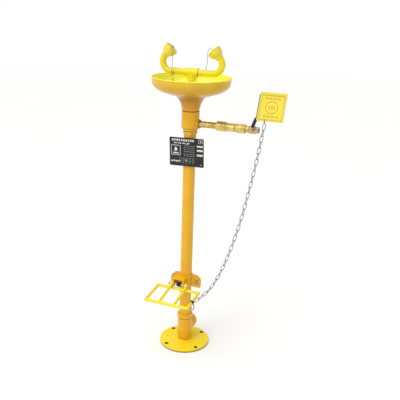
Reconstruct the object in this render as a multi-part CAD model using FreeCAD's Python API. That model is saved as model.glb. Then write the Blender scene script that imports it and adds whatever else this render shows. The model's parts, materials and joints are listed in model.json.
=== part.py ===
import FreeCAD, Part
import math
import os
from FreeCAD import Vector

# Pedestal eyewash station with foot treadle. Millimetres, +Z up, origin at the centre of the
# base flange's underside. The user stands on the -Y side, and the water comes in from +X.

# Pipes
COLUMN_R = 21.2            # 1 1/4 in pipe, waste column
COLUMN_WALL = 3.2
WATER_R = 10.65            # 1/2 in pipe, every water line
WATER_WALL = 2.65
WATER_BORE_R = WATER_R - WATER_WALL
CLEAR = 0.3                # gap between pieces that only pass each other
RUN = 0.06                 # radial gap of a running fit

# Base flange
BASE_R = 91.0
BASE_T = 9.0
BOLT_CIRCLE_R = 78.0
BOLT_HOLE_R = 6.5
BOLT_PHASE = 55.0          # angle of the first hole from +X
HUB_R = 23.5
HUB_H = 4.0

# Lower tee with the drain outlet at the back
LOW_TEE_R = 26.0
LOW_TEE_H = 105.0
LOW_COLLAR_R = 28.0
LOW_COLLAR_H = 18.0
DRAIN_UP = 49.0            # outlet axis above the tee's foot
DRAIN_REACH = 54.0         # outlet face from the column's axis
DRAIN_THREAD_R = 19.5
DRAIN_THREAD_L = 18.0

# Column
COLUMN_LENGTH = 712.0
SOCKET = 18.0              # depth that a pipe enters a fitting

# Upper tee
REDUCER_R = 27.5
REDUCER_H = 20.0
TEE_R = 30.2
TEE_H = 58.0
TEE_WALL = 5.2
PORT_UP = 17.0             # water port's axis above the tee's foot
PORT_R = 15.0
PORT_REACH = 35.0
GASKET_T = 2.0

# Bowl
BOWL_R = 132.8
BOWL_H = 70.0              # from the underside of its floor to the rim
BOWL_WALL = 2.6
BOWL_BAND_H = 20.0
BOWL_FLOOR_R = 44.0
BOWL_HOLE_R = 26.0
TAIL_H = 39.0
STRAINER_R = 38.0
STRAINER_T = 1.5
STRAINER_HOLE_R = 1.8
STRAINER_RINGS = ((17.0, 10), (23.0, 14))   # radius and count of each ring of holes

# Manifold and spray heads
MANIFOLD_OVER_RIM = 16.0
MANIFOLD_STRAIGHT = 74.0   # half width of the straight stretch
MANIFOLD_BEND_R = 30.0
HEAD_TILT = 45.0           # head axis from vertical, inwards
FITTING_R = 14.5
PIPE_STOP_X = 12.0         # how near the two pipes come to the middle of the manifold's tee
HEAD_R = 22.5
HEAD_RIM_R = 23.8
HEAD_H = 30.5
HEAD_WALL = 2.4
CAP_H = 5.5
SPRAY_HOLES = 12
SPRAY_RINGS = ((13.0, 1.1), (7.5, 0.9))     # ring radius and hole radius

# Valve arm
NIPPLE_END = 110.0
THREAD_START = 68.0
THREAD_RINGS = 9
UNION_START = 96.0
UNION_NUT_L = 32.0
UNION_NUT_AF = 30.0
UNION_TAIL_R = 13.4
UNION_END = 163.0
COUPLING_AF = 28.0
COUPLING_L = 31.0
VALVE_X = 218.0            # stem axis
CHAMBER_R = 13.6
CHAMBER_HALF = 11.5        # from the stem axis to the body's inlet face
BALL_R = 9.2
BALL_BORE_R = 5.5
STEM_R = 4.0
GLAND_STANDS = 2.0         # gland's seat beyond the chamber
GLAND_H = 4.0
GLAND_AF = 13.0
BOSS_R = 7.5
INLET_R = 10.48
INLET_L = 10.0

# Valve lever and push plate
LEVER_PLANE = -22.5        # middle of the lever's thickness
LEVER_T = 4.0
LEVER_W = 8.6
LEVER_KNEE_X = 15.5        # knee from the stem
LEVER_KNEE_Z = 42.0
LEVER_NUT_AF = 12.0
LEVER_NUT_L = 6.0
PLATE_W = 85.5
PLATE_H = 94.0
PLATE_T = 2.0
PLATE_LEAN = 24.5
PLATE_BESIDE_KNEE = 2.2
PLATE_BELOW_KNEE = 6.0
PLATE_FLANGE = 6.0
STRAP_W = 13.5
STRAP_SHOWS = 3.0          # how far the strap stands out beside the plate
EYE_FROM_EDGE = 27.0       # chain eye from the plate's left edge
EYE_UP = 5.0
EYE_R = 2.6
PLATE_RING_R = 5.5
RIVET_R = 2.0
RIVETS_UP = {"low": 22.0, "high": 68.0}

# Chain, as the tube its links fill
CHAIN_R = 6.5
CHAIN_ROUTE = [
    (263.3, -28.2, 855.8), (250.8, -35.0, 753.0), (230.5, -45.0, 632.5), (209.0, -56.0, 518.0),
    (180.0, -68.0, 408.0), (150.0, -80.0, 324.0), (115.0, -94.0, 260.0), (85.0, -106.0, 237.0),
]

# Treadle
PIN_Y = -40.0
PIN_Z = 247.0
PIN_R = 4.0
ROD_R = 5.5
TREADLE_MID = -11.0        # the frame hangs a little to the left
TREADLE_HALF = 79.5        # side rods from the frame's middle
ARM_HALF = 28.0
BACK_BAR = (-44.0, 231.0)  # Y and Z of the back bar
FRONT_BAR = (-150.0, 222.0)
ARM_BACK_Z = 240.8
ARM_ROD_R = 5.2            # the two arms between the side rods
EYE_RING_R = 8.5
SHACKLE_Y = -110.0
WIRE_R = 1.5               # wire of the chain's two end rings

# Clamp that carries the treadle
CLAMP_Z = (231.5, 276.0)
CLAMP_WALL = 3.5
CLAMP_GAP = 1.5
EAR_REACH = 57.0
EAR_T = 5.0
CLAMP_BOLT_X = 44.0
CLAMP_BOLT_R = 4.0
CLAMP_BOLT_AF = 13.0
CLAMP_HEAD_H = 5.3
CLAMP_NUT_H = 6.5
LUG_T = 5.0
LUG_FRONT = -49.5
LUG_TOP = 272.0
LUG_FOOT = 239.0
SPRING_WIRE_R = 1.2
SPRING_COIL_R = 7.0
SPRING_TURNS = 5

# Sign
SIGN_W = 124.0
SIGN_H = 98.0
SIGN_T = 2.0
SIGN_Z = 737.0
SIGN_FRONT = -27.5
SIGN_ROLL = 2.0
STRAP_T = 2.0
STRAP_H = 16.0
SIGN_STRAP_UP = 28.0
SIGN_SCREW_R = 2.0

# Dust cap tethers
TETHER_R = 0.9
TETHER_EYE_OUT = 15.8      # eye from the manifold's middle plane, left one in front, right one behind
TETHER_EYE_DOWN = 12.0     # eye below the manifold's axis
TETHER_EYE_R = 2.6
TETHER_ROUTES = {
    "left": [(-65.0, -3.2, 1080.5), (-61.4, -16.0, 1079.2), (-59.0, -26.0, 1069.0), (-59.0, -25.0, 1045.0),
             (-61.5, -21.0, 1017.0), (-66.0, -16.0, 991.6)],
    "right": [(63.5, 3.4, 1080.5), (54.5, 8.6, 1077.6), (47.5, 13.0, 1067.0), (48.0, 17.0, 1043.0),
              (43.0, 19.5, 1016.0), (33.0, 16.0, 991.6)],
}

# Heights and places that follow
LOW_TEE_Z = BASE_T + HUB_H
DRAIN_Z = LOW_TEE_Z + DRAIN_UP
COLUMN_Z = LOW_TEE_Z + LOW_TEE_H - SOCKET
COLUMN_TOP = COLUMN_Z + COLUMN_LENGTH
TEE_Z = COLUMN_TOP + 3.0
REDUCER_Z = TEE_Z - REDUCER_H
TEE_TOP = TEE_Z + TEE_H
TAIL_Z = TEE_TOP + GASKET_T
BOWL_Z = TAIL_Z + TAIL_H
RIM_Z = BOWL_Z + BOWL_H
MANIFOLD_Z = RIM_Z + MANIFOLD_OVER_RIM
ARM_Z = TEE_Z + PORT_UP
RISER_FOOT_X = TEE_R - TEE_WALL + 2.0
EYE_RING_W = 2 * ROD_R
COUPLING_END = UNION_END + COUPLING_L
VALVE_END = VALVE_X + CHAMBER_HALF

X, Y, Z = Vector(1, 0, 0), Vector(0, 1, 0), Vector(0, 0, 1)


def rod(radius, start, end):
    start, end = Vector(*start), Vector(*end)
    return Part.makeCylinder(radius, (end - start).Length, start, end - start)


def ring(outer, inner, start, end):
    return rod(outer, start, end).cut(rod(inner, start, end))


def box(low, high):
    size = [b - a for a, b in zip(low, high)]
    return Part.makeBox(*size, Vector(*low))


def prism(points, start, direction, length):
    """A prism whose flat outline is given about a start point, square to a direction."""
    turn = FreeCAD.Rotation(Z, Vector(*direction))
    corners = [Vector(*start) + turn.multVec(Vector(a, b, 0)) for a, b in points]
    face = Part.Face(Part.makePolygon(corners + corners[:1]))
    return face.extrude(turn.multVec(Vector(0, 0, length)))


def hexagon(across_flats, start, direction, length):
    reach = across_flats / math.sqrt(3)
    corners = [(reach * math.cos(k * math.pi / 3), reach * math.sin(k * math.pi / 3)) for k in range(6)]
    blank = prism(corners, start, direction, length)
    corner_cut = rod(reach * 0.965, start, Vector(*start) + Vector(*direction) * length)
    return blank.common(corner_cut)


def turned(outline, start=(0, 0, 0), direction=(0, 0, 1)):
    """A solid of revolution from (radius, height) points about an axis."""
    points = [Vector(r, 0, h) for r, h in outline]
    face = Part.Face(Part.makePolygon(points + points[:1]))
    solid = face.revolve(Vector(), Z, 360)
    solid.Placement = FreeCAD.Placement(Vector(*start), FreeCAD.Rotation(Z, Vector(*direction)))
    return solid


def fused(first, *others):
    for other in others:
        first = first.fuse(other)
    return first.removeSplitter()


def mirrored(shape):
    return shape.mirror(Vector(), X)


def rounded_route(points, name, diameter):
    """Straight runs joined by tangent arcs, each as large as its two runs allow."""
    points = [Vector(*p) for p in points]
    edges, here, radii = [], points[0], []
    for before, corner, after in zip(points, points[1:], points[2:]):
        into, out = (corner - before), (after - corner)
        half_turn = into.getAngle(out) / 2
        radius = 0.45 * min(into.Length, out.Length) / math.tan(half_turn)
        reach = radius * math.tan(half_turn)
        into, out = into.normalize(), out.normalize()
        first, last = corner - into * reach, corner + out * reach
        inward = (out - into).normalize()
        middle = corner + inward * (radius / math.cos(half_turn) - radius)
        edges.append(Part.LineSegment(here, first).toShape())
        edges.append(Part.Arc(first, middle, last).toShape())
        here = last
        radii.append(radius)
    edges.append(Part.LineSegment(here, points[-1]).toShape())
    wire = Part.Wire(edges)
    print(name, "length %.1f" % wire.Length, "radii in diameters", [round(r / diameter, 1) for r in radii])
    return wire


def cord(points, radius, name):
    wire = rounded_route(points, name, 2 * radius)
    start = Vector(*points[0])
    section = Part.Wire(Part.makeCircle(radius, start, Vector(*points[1]) - start))
    tube = wire.makePipeShell([section], True, False)
    share = tube.Volume / (math.pi * radius**2 * wire.Length)
    print(name, "volume over section times length %.4f" % share)
    return tube


def base():
    flange = rod(BASE_R, (0, 0, 0), (0, 0, BASE_T))
    top_edges = [e for e in flange.Edges if abs(e.BoundBox.ZMin - BASE_T) < 1e-6]
    flange = flange.makeFillet(1.5, top_edges)
    for k in range(4):
        angle = math.radians(BOLT_PHASE + 90 * k)
        x, y = BOLT_CIRCLE_R * math.cos(angle), BOLT_CIRCLE_R * math.sin(angle)
        flange = flange.cut(rod(BOLT_HOLE_R, (x, y, 0), (x, y, BASE_T)))
    bore = COLUMN_R - COLUMN_WALL
    hub = turned([(0, BASE_T), (HUB_R + 3, BASE_T), (HUB_R, LOW_TEE_Z), (bore, LOW_TEE_Z),
                  (bore, LOW_TEE_Z + SOCKET), (0, LOW_TEE_Z + SOCKET)])
    return {"base_flange": fused(flange, hub)}


def lower_tee():
    bore = COLUMN_R - COLUMN_WALL
    top = LOW_TEE_Z + LOW_TEE_H
    body = turned([(0, LOW_TEE_Z), (LOW_TEE_R - 1.5, LOW_TEE_Z), (LOW_TEE_R, LOW_TEE_Z + 10),
                   (LOW_TEE_R, top - LOW_COLLAR_H), (LOW_COLLAR_R, top - LOW_COLLAR_H + 3),
                   (LOW_COLLAR_R, top - 1.5), (LOW_COLLAR_R - 1.5, top), (0, top)])
    neck = rod(LOW_TEE_R - 2, (0, 0, DRAIN_Z), (0, DRAIN_REACH - 4, DRAIN_Z))
    collar = turned([(0, 0), (LOW_TEE_R - 2, 0), (LOW_COLLAR_R, 3), (LOW_COLLAR_R, DRAIN_THREAD_L - 1.5),
                     (LOW_COLLAR_R - 1.5, DRAIN_THREAD_L), (0, DRAIN_THREAD_L)],
                    (0, DRAIN_REACH - DRAIN_THREAD_L, DRAIN_Z), (0, 1, 0))
    tee = fused(body, neck, collar)
    cuts = [rod(bore, (0, 0, LOW_TEE_Z), (0, 0, top)), rod(COLUMN_R, (0, 0, COLUMN_Z), (0, 0, top)),
            rod(bore, (0, 0, DRAIN_Z), (0, DRAIN_REACH, DRAIN_Z)),
            rod(DRAIN_THREAD_R, (0, DRAIN_REACH - DRAIN_THREAD_L, DRAIN_Z), (0, DRAIN_REACH, DRAIN_Z))]
    for cut in cuts:
        tee = tee.cut(cut)
    return {"lower_tee": tee}


def column():
    pipe = ring(COLUMN_R, COLUMN_R - COLUMN_WALL, (0, 0, COLUMN_Z), (0, 0, COLUMN_TOP))
    return {"column_pipe": pipe}


def upper_tee():
    bore = COLUMN_R - COLUMN_WALL
    low = REDUCER_Z
    reducer = turned([(bore, COLUMN_TOP), (COLUMN_R, COLUMN_TOP), (COLUMN_R, low), (COLUMN_R + 1.6, low),
                      (COLUMN_R + 2.6, low + 4), (COLUMN_R + 3.2, low + 5.5), (COLUMN_R + 3.2, low + 8.5),
                      (COLUMN_R + 2.2, low + 10), (COLUMN_R + 2.2, low + 12), (COLUMN_R + 3.8, low + 13.5),
                      (REDUCER_R, TEE_Z), (bore, TEE_Z)])
    body = turned([(0, TEE_Z), (REDUCER_R, TEE_Z), (TEE_R, TEE_Z + 3), (TEE_R, TEE_TOP), (0, TEE_TOP)])
    port = rod(PORT_R, (0, 0, ARM_Z), (PORT_REACH, 0, ARM_Z))
    inner = TEE_R - TEE_WALL
    tee = fused(body, port).cut(rod(inner, (0, 0, TEE_Z + 4), (0, 0, TEE_TOP)))
    tee = tee.cut(rod(bore, (0, 0, TEE_Z), (0, 0, TEE_Z + 4)))
    tee = tee.cut(rod(WATER_R, (0, 0, ARM_Z), (PORT_REACH, 0, ARM_Z)))
    gasket = ring(TEE_R - 2, inner, (0, 0, TEE_TOP), (0, 0, TAIL_Z))
    return {"column_reducer": reducer, "upper_tee": tee, "tee_gasket": gasket}


def bowl():
    inner = TEE_R - TEE_WALL
    tail = turned([(inner, TAIL_Z), (TEE_R - 2.2, TAIL_Z), (TEE_R - 2.2, TAIL_Z + 4), (TEE_R, TAIL_Z + 14),
                   (TEE_R + 1.5, TAIL_Z + 21), (TEE_R + 5, TAIL_Z + 28), (BOWL_FLOOR_R - 2.5, BOWL_Z - 3),
                   (BOWL_FLOOR_R, BOWL_Z), (BOWL_HOLE_R, BOWL_Z), (inner, BOWL_Z - 12)])

    def outline(inset):
        """The dish's half outline, moved in by the wall."""
        band = Vector(BOWL_R - 1.2 - inset, 0, RIM_Z - BOWL_BAND_H)
        shoulder = Vector(BOWL_R - 7.5 - 0.8 * inset, 0, RIM_Z - BOWL_BAND_H - 12.5 + 0.6 * inset)
        turn = Vector(BOWL_R - 24 - 0.4 * inset, 0, RIM_Z - BOWL_BAND_H - 23.5 + 0.9 * inset)
        belly = Vector(0.6 * BOWL_R, 0, BOWL_Z + 10.5 + inset)
        floor = Vector(BOWL_FLOOR_R, 0, BOWL_Z + inset)
        axis_low, axis_top = Vector(0, 0, BOWL_Z + inset), Vector(0, 0, RIM_Z)
        rim = Vector(BOWL_R - inset, 0, RIM_Z)
        edges = [Part.LineSegment(axis_top, rim), Part.LineSegment(rim, band),
                 Part.Arc(band, shoulder, turn), Part.Arc(turn, belly, floor),
                 Part.LineSegment(floor, axis_low), Part.LineSegment(axis_low, axis_top)]
        return Part.Face(Part.Wire([e.toShape() for e in edges])).revolve(Vector(), Z, 360)

    dish = outline(0).cut(outline(BOWL_WALL))
    dish = dish.cut(rod(BOWL_HOLE_R, (0, 0, BOWL_Z - 1), (0, 0, BOWL_Z + 2 * BOWL_WALL)))
    rim_edges = [e for e in dish.Edges if abs(e.BoundBox.ZMin - RIM_Z) < 1e-6]
    dish = dish.makeFillet(0.45 * BOWL_WALL, rim_edges)
    bead = Part.makeTorus(BOWL_R - BOWL_WALL / 2, 0.75 * BOWL_WALL, Vector(0, 0, RIM_Z - 0.5))
    dish = fused(dish, bead)
    floor_z = BOWL_Z + BOWL_WALL
    strainer = ring(STRAINER_R, WATER_R + CLEAR, (0, 0, floor_z), (0, 0, floor_z + STRAINER_T))
    for radius, count in STRAINER_RINGS:
        for k in range(count):
            angle = 2 * math.pi * k / count
            x, y = radius * math.cos(angle), radius * math.sin(angle)
            strainer = strainer.cut(rod(STRAINER_HOLE_R, (x, y, floor_z), (x, y, floor_z + STRAINER_T)))
    return {"bowl_tailpiece": tail, "bowl": dish, "bowl_strainer": strainer}


def riser():
    bend = WATER_R + 5.0
    short = bend * (1 - math.sqrt(0.5))
    foot = Vector(RISER_FOOT_X, 0, ARM_Z)
    first, last = Vector(bend, 0, ARM_Z), Vector(0, 0, ARM_Z + bend)
    path = Part.Wire([
        Part.LineSegment(foot, first).toShape(),
        Part.Arc(first, Vector(short, 0, ARM_Z + short), last).toShape(),
        Part.LineSegment(last, Vector(0, 0, RIM_Z)).toShape(),
    ])
    outer = path.makePipeShell([Part.Wire(Part.makeCircle(WATER_R, foot, -X))], True, False)
    inner = path.makePipeShell([Part.Wire(Part.makeCircle(WATER_BORE_R, foot, -X))], True, False)
    return {"riser_pipe": outer.cut(inner)}


def manifold():
    parts = {}
    barrel_half = FITTING_R + 9
    middle, foot = (0, 0, MANIFOLD_Z), (0, 0, RIM_Z - 12)
    ends = [(side * barrel_half, 0, MANIFOLD_Z) for side in (-1, 1)]
    tee = fused(rod(FITTING_R, foot, middle), rod(FITTING_R, *ends))
    tee = tee.cut(rod(WATER_BORE_R, *ends))
    tee = tee.cut(rod(WATER_BORE_R, foot, middle))
    tee = tee.cut(rod(WATER_R, foot, (0, 0, RIM_Z)))
    for side, end in zip((-1, 1), ends):
        tee = tee.cut(rod(WATER_R, (side * PIPE_STOP_X, 0, MANIFOLD_Z), end))
    parts["manifold_tee"] = tee

    swing = math.radians(90 + HEAD_TILT)

    def on_bend(angle):
        return Vector(MANIFOLD_STRAIGHT + MANIFOLD_BEND_R * math.sin(angle), 0,
                      MANIFOLD_Z + MANIFOLD_BEND_R * (1 - math.cos(angle)))

    start = Vector(PIPE_STOP_X, 0, MANIFOLD_Z)
    path = Part.Wire([Part.LineSegment(start, on_bend(0)).toShape(),
                      Part.Arc(on_bend(0), on_bend(swing / 2), on_bend(swing)).toShape()])
    outer = path.makePipeShell([Part.Wire(Part.makeCircle(WATER_R, start, X))], True, False)
    inner = path.makePipeShell([Part.Wire(Part.makeCircle(WATER_BORE_R, start, X))], True, False)
    pipe = outer.cut(inner)
    neck = on_bend(swing)
    axis = (-math.sin(math.radians(HEAD_TILT)), 0, math.cos(math.radians(HEAD_TILT)))
    wall = HEAD_WALL
    head = turned([(WATER_BORE_R, 0), (WATER_R + 3, 0), (WATER_R + 3, 4), (WATER_R + 1.2, 5),
                   (WATER_R + 4, 7), (HEAD_R - 3.5, 11.5), (HEAD_R - 1, 16), (HEAD_R, 21),
                   (HEAD_R, 26), (HEAD_RIM_R, 27),
                   (HEAD_RIM_R, HEAD_H), (HEAD_RIM_R - wall, HEAD_H), (HEAD_R - wall, 24),
                   (HEAD_R - wall - 2.5, 17), (WATER_BORE_R + 3, 9), (WATER_BORE_R, 7)], neck, axis)
    face = turned([(0, 24.2), (HEAD_R - wall, 24.2), (HEAD_R - wall, 26.2), (HEAD_R - wall - 4.5, 27),
                   (0, 27)], neck, axis)
    across = FreeCAD.Rotation(Z, Vector(*axis))
    for k in range(SPRAY_HOLES):
        angle = 2 * math.pi * k / SPRAY_HOLES
        for radius, hole in SPRAY_RINGS:
            spot = across.multVec(Vector(radius * math.cos(angle), radius * math.sin(angle), 0))
            low = neck + Vector(*axis) * 23 + spot
            face = face.cut(rod(hole, low, low + Vector(*axis) * 6))
    top = HEAD_H + CLEAR
    stud = top + CAP_H
    plug = HEAD_R - wall - 0.4
    cap = turned([(0, top + 1), (plug - 0.8, top + 1), (plug - 0.8, 28), (plug, 28), (plug, top),
                  (HEAD_RIM_R, top), (HEAD_RIM_R, top + 2.5), (HEAD_RIM_R - 3, top + 4.3),
                  (HEAD_RIM_R - 10, stud), (3.2, stud), (2.4, stud + 2), (2.8, stud + 3.5),
                  (1.4, stud + 4.5), (0, stud + 4.5)], neck, axis)
    for side, name in ((1, "right"), (-1, "left")):
        pieces = {"manifold_pipe": pipe, "head_body": head, "head_face": face, "dust_cap": cap}
        for piece, shape in pieces.items():
            parts[piece + "_" + name] = shape if side == 1 else mirrored(shape)
    return parts


def valve_arm():
    centre = (VALVE_X, 0, ARM_Z)

    def at(x):
        return (x, 0, ARM_Z)

    nipple = ring(WATER_R, WATER_BORE_R, at(RISER_FOOT_X), at(NIPPLE_END))
    pitch = (UNION_START - THREAD_START - 2) / THREAD_RINGS
    for k in range(THREAD_RINGS):
        notch = [(WATER_R + 1, 0), (WATER_R + 1, 0.7 * pitch), (WATER_R - 0.9, 0.35 * pitch)]
        nipple = nipple.cut(turned(notch, at(THREAD_START + k * pitch), (1, 0, 0)))
    nut = hexagon(UNION_NUT_AF, at(UNION_START), (1, 0, 0), UNION_NUT_L)
    nut = nut.cut(rod(WATER_R, at(UNION_START), at(NIPPLE_END)))
    nut = nut.cut(rod(UNION_TAIL_R, at(NIPPLE_END), at(UNION_START + UNION_NUT_L)))
    tail = turned([(WATER_BORE_R, NIPPLE_END), (UNION_TAIL_R, NIPPLE_END), (UNION_TAIL_R, UNION_END - 5),
                   (UNION_TAIL_R - 2, UNION_END - 3), (UNION_TAIL_R - 2, UNION_END),
                   (WATER_BORE_R, UNION_END)],
                  at(0), (1, 0, 0))
    coupling = hexagon(COUPLING_AF, at(UNION_END), (1, 0, 0), COUPLING_L)
    coupling = coupling.cut(rod(WATER_BORE_R, at(UNION_END), at(COUPLING_END)))

    low, half = COUPLING_END - VALVE_X, CHAMBER_HALF
    body = turned([(0, low), (WATER_R, low), (WATER_R, -half - 1), (CHAMBER_R - 1.6, -half + 1.5),
                   (CHAMBER_R, -6), (CHAMBER_R, 6), (CHAMBER_R - 1.6, half - 1.5),
                   (WATER_R + 0.6, half), (0, half)], centre, (1, 0, 0))
    gland_face = -(CHAMBER_R + GLAND_STANDS)
    boss = rod(BOSS_R, centre, (VALVE_X, gland_face, ARM_Z))
    body = fused(body, boss).cut(Part.makeSphere(BALL_R + CLEAR, Vector(*centre)))
    body = body.cut(rod(BALL_BORE_R, at(COUPLING_END), at(VALVE_END)))
    body = body.cut(rod(STEM_R + RUN, centre, (VALVE_X, gland_face, ARM_Z)))
    gland = hexagon(GLAND_AF, (VALVE_X, gland_face, ARM_Z), (0, -1, 0), GLAND_H)
    gland = gland.cut(rod(STEM_R + RUN, centre, (VALVE_X, gland_face - GLAND_H, ARM_Z)))
    inlet = ring(INLET_R, BALL_BORE_R + 1.5, at(VALVE_END), at(VALVE_END + INLET_L))
    return {"arm_nipple": nipple, "union_nut": nut, "union_tail": tail, "arm_coupling": coupling,
            "valve_body": body, "stem_gland": gland, "inlet_spigot": inlet}


def plate_frame():
    """The push plate's frame: bottom left corner of its front, along X, up the plate, out of its front."""
    lean = math.radians(PLATE_LEAN)
    up = Vector(0, math.sin(lean), math.cos(lean))
    out = Vector(0, -math.cos(lean), math.sin(lean))
    knee = Vector(VALVE_X + LEVER_KNEE_X, LEVER_PLANE, ARM_Z + LEVER_KNEE_Z)
    corner = knee + X * PLATE_BESIDE_KNEE - up * PLATE_BELOW_KNEE + out * (PLATE_T + LEVER_T / 2)
    return corner, up, out


def on_plate(shape):
    """Puts a shape made with X along the plate, Y up it and Z out of its front in its place."""
    corner, up, out = plate_frame()
    turn = FreeCAD.Rotation(X, up, out)
    shape = shape.copy()
    shape.Placement = FreeCAD.Placement(corner, turn).multiply(shape.Placement)
    return shape


def lever():
    centre = Vector(VALVE_X, 0, ARM_Z)
    front = LEVER_PLANE - LEVER_T / 2
    ball = Part.makeSphere(BALL_R, centre).cut(rod(BALL_BORE_R, centre - Z * 12, centre + Z * 12))
    stem_foot = Vector(VALVE_X, -BALL_BORE_R - 1.0, ARM_Z)
    stem = rod(STEM_R, stem_foot, (VALVE_X, front - LEVER_NUT_L - 2, ARM_Z))
    ball = ball.cut(stem)

    hub = Vector(VALVE_X, front, ARM_Z)
    knee = Vector(VALVE_X + LEVER_KNEE_X, front, ARM_Z + LEVER_KNEE_Z)
    along = (knee - hub).normalize()
    side = along.cross(Y) * (LEVER_W / 2)
    low, high = hub, knee - along * 1.0
    corners = [low + side, high + side, high - side, low - side]
    bar = Part.Face(Part.makePolygon(corners + corners[:1])).extrude(Y * LEVER_T)
    bar = fused(bar, rod(LEVER_W * 0.78, hub, hub + Y * LEVER_T))
    strap_left = -STRAP_SHOWS
    strap = box((strap_left, 0, -PLATE_T - LEVER_T), (strap_left + STRAP_W, PLATE_H - 8, -PLATE_T))
    bar = fused(bar, on_plate(strap)).cut(stem)
    nut = hexagon(LEVER_NUT_AF, hub, (0, -1, 0), LEVER_NUT_L).cut(stem)

    plate = box((0, 0, -PLATE_T), (PLATE_W, PLATE_H, 0))
    top = box((0, PLATE_H - PLATE_T, -PLATE_FLANGE), (PLATE_W, PLATE_H, -PLATE_T))
    right = box((PLATE_W - PLATE_T, 0, -PLATE_FLANGE), (PLATE_W, PLATE_H - PLATE_T, -PLATE_T))
    border = box((4, 4, 0), (PLATE_W - 4, PLATE_H - 4, 0.6))
    border = border.cut(box((6.5, 6.5, 0), (PLATE_W - 6.5, PLATE_H - 6.5, 1)))
    plate = fused(plate, top, right, border)
    eye = (EYE_FROM_EDGE, EYE_UP)
    plate = plate.cut(rod(EYE_R, (*eye, -PLATE_T - 1), (*eye, 1)))
    rivets = {}
    for name, height in RIVETS_UP.items():
        spot = STRAP_W - STRAP_SHOWS - 4.5
        hole = rod(RIVET_R, (spot, height, -PLATE_T - LEVER_T), (spot, height, 0))
        head = turned([(0, 0), (4, 0), (3.2, 1.4), (1.6, 2), (0, 2)], (spot, height, 0))
        rivet = fused(hole, head)
        bar, plate = bar.cut(on_plate(hole)), plate.cut(rivet)
        rivets["plate_rivet_" + name] = on_plate(rivet)
    hook_mid = Vector(eye[0], eye[1] - PLATE_RING_R, -PLATE_T / 2)
    hook = Part.makeTorus(PLATE_RING_R, WIRE_R, hook_mid, X)
    return {"valve_ball": ball, "valve_stem": stem, "lever_bar": bar, "lever_nut": nut,
            "push_plate": on_plate(plate), "plate_ring": on_plate(hook), **rivets}


def treadle():
    left, right = TREADLE_MID - TREADLE_HALF, TREADLE_MID + TREADLE_HALF
    parts = {}
    back = rod(ROD_R, (left, *BACK_BAR), (right, *BACK_BAR))
    front = rod(ROD_R, (left, *FRONT_BAR), (right, *FRONT_BAR))
    slope = (FRONT_BAR[1] - ARM_BACK_Z) / (FRONT_BAR[0] - BACK_BAR[0])
    for name, x in (("left", left), ("right", right)):
        side = fused(rod(ROD_R, (x, *BACK_BAR), (x, *FRONT_BAR)),
                     Part.makeSphere(ROD_R, Vector(x, *BACK_BAR)),
                     Part.makeSphere(ROD_R, Vector(x, *FRONT_BAR)))
        parts["treadle_side_" + name] = side
        back, front = back.cut(side), front.cut(side)
    for name, x in (("left", TREADLE_MID - ARM_HALF), ("right", TREADLE_MID + ARM_HALF)):
        end = PIN_Y - 2.0
        arm = rod(ARM_ROD_R, (x, end, ARM_BACK_Z + slope * (end - BACK_BAR[0])), (x, *FRONT_BAR))
        eye = rod(EYE_RING_R, (x - EYE_RING_W / 2, PIN_Y, PIN_Z), (x + EYE_RING_W / 2, PIN_Y, PIN_Z))
        hole = rod(PIN_R + RUN, (x - EYE_RING_W, PIN_Y, PIN_Z), (x + EYE_RING_W, PIN_Y, PIN_Z))
        parts["treadle_arm_" + name] = fused(arm, eye).cut(hole).cut(front).cut(back)
    parts["treadle_back_bar"], parts["treadle_front_bar"] = back, front
    fall = (SHACKLE_Y - BACK_BAR[0]) / (FRONT_BAR[0] - BACK_BAR[0])
    shackle = Vector(right, SHACKLE_Y, BACK_BAR[1] + fall * (FRONT_BAR[1] - BACK_BAR[1]))
    run = Vector(0, FRONT_BAR[0] - BACK_BAR[0], FRONT_BAR[1] - BACK_BAR[1])
    hoop = Part.makeTorus(ROD_R + WIRE_R, WIRE_R, shackle, run)
    parts["chain_shackle"] = hoop.cut(parts["treadle_side_right"])
    return parts


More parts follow.
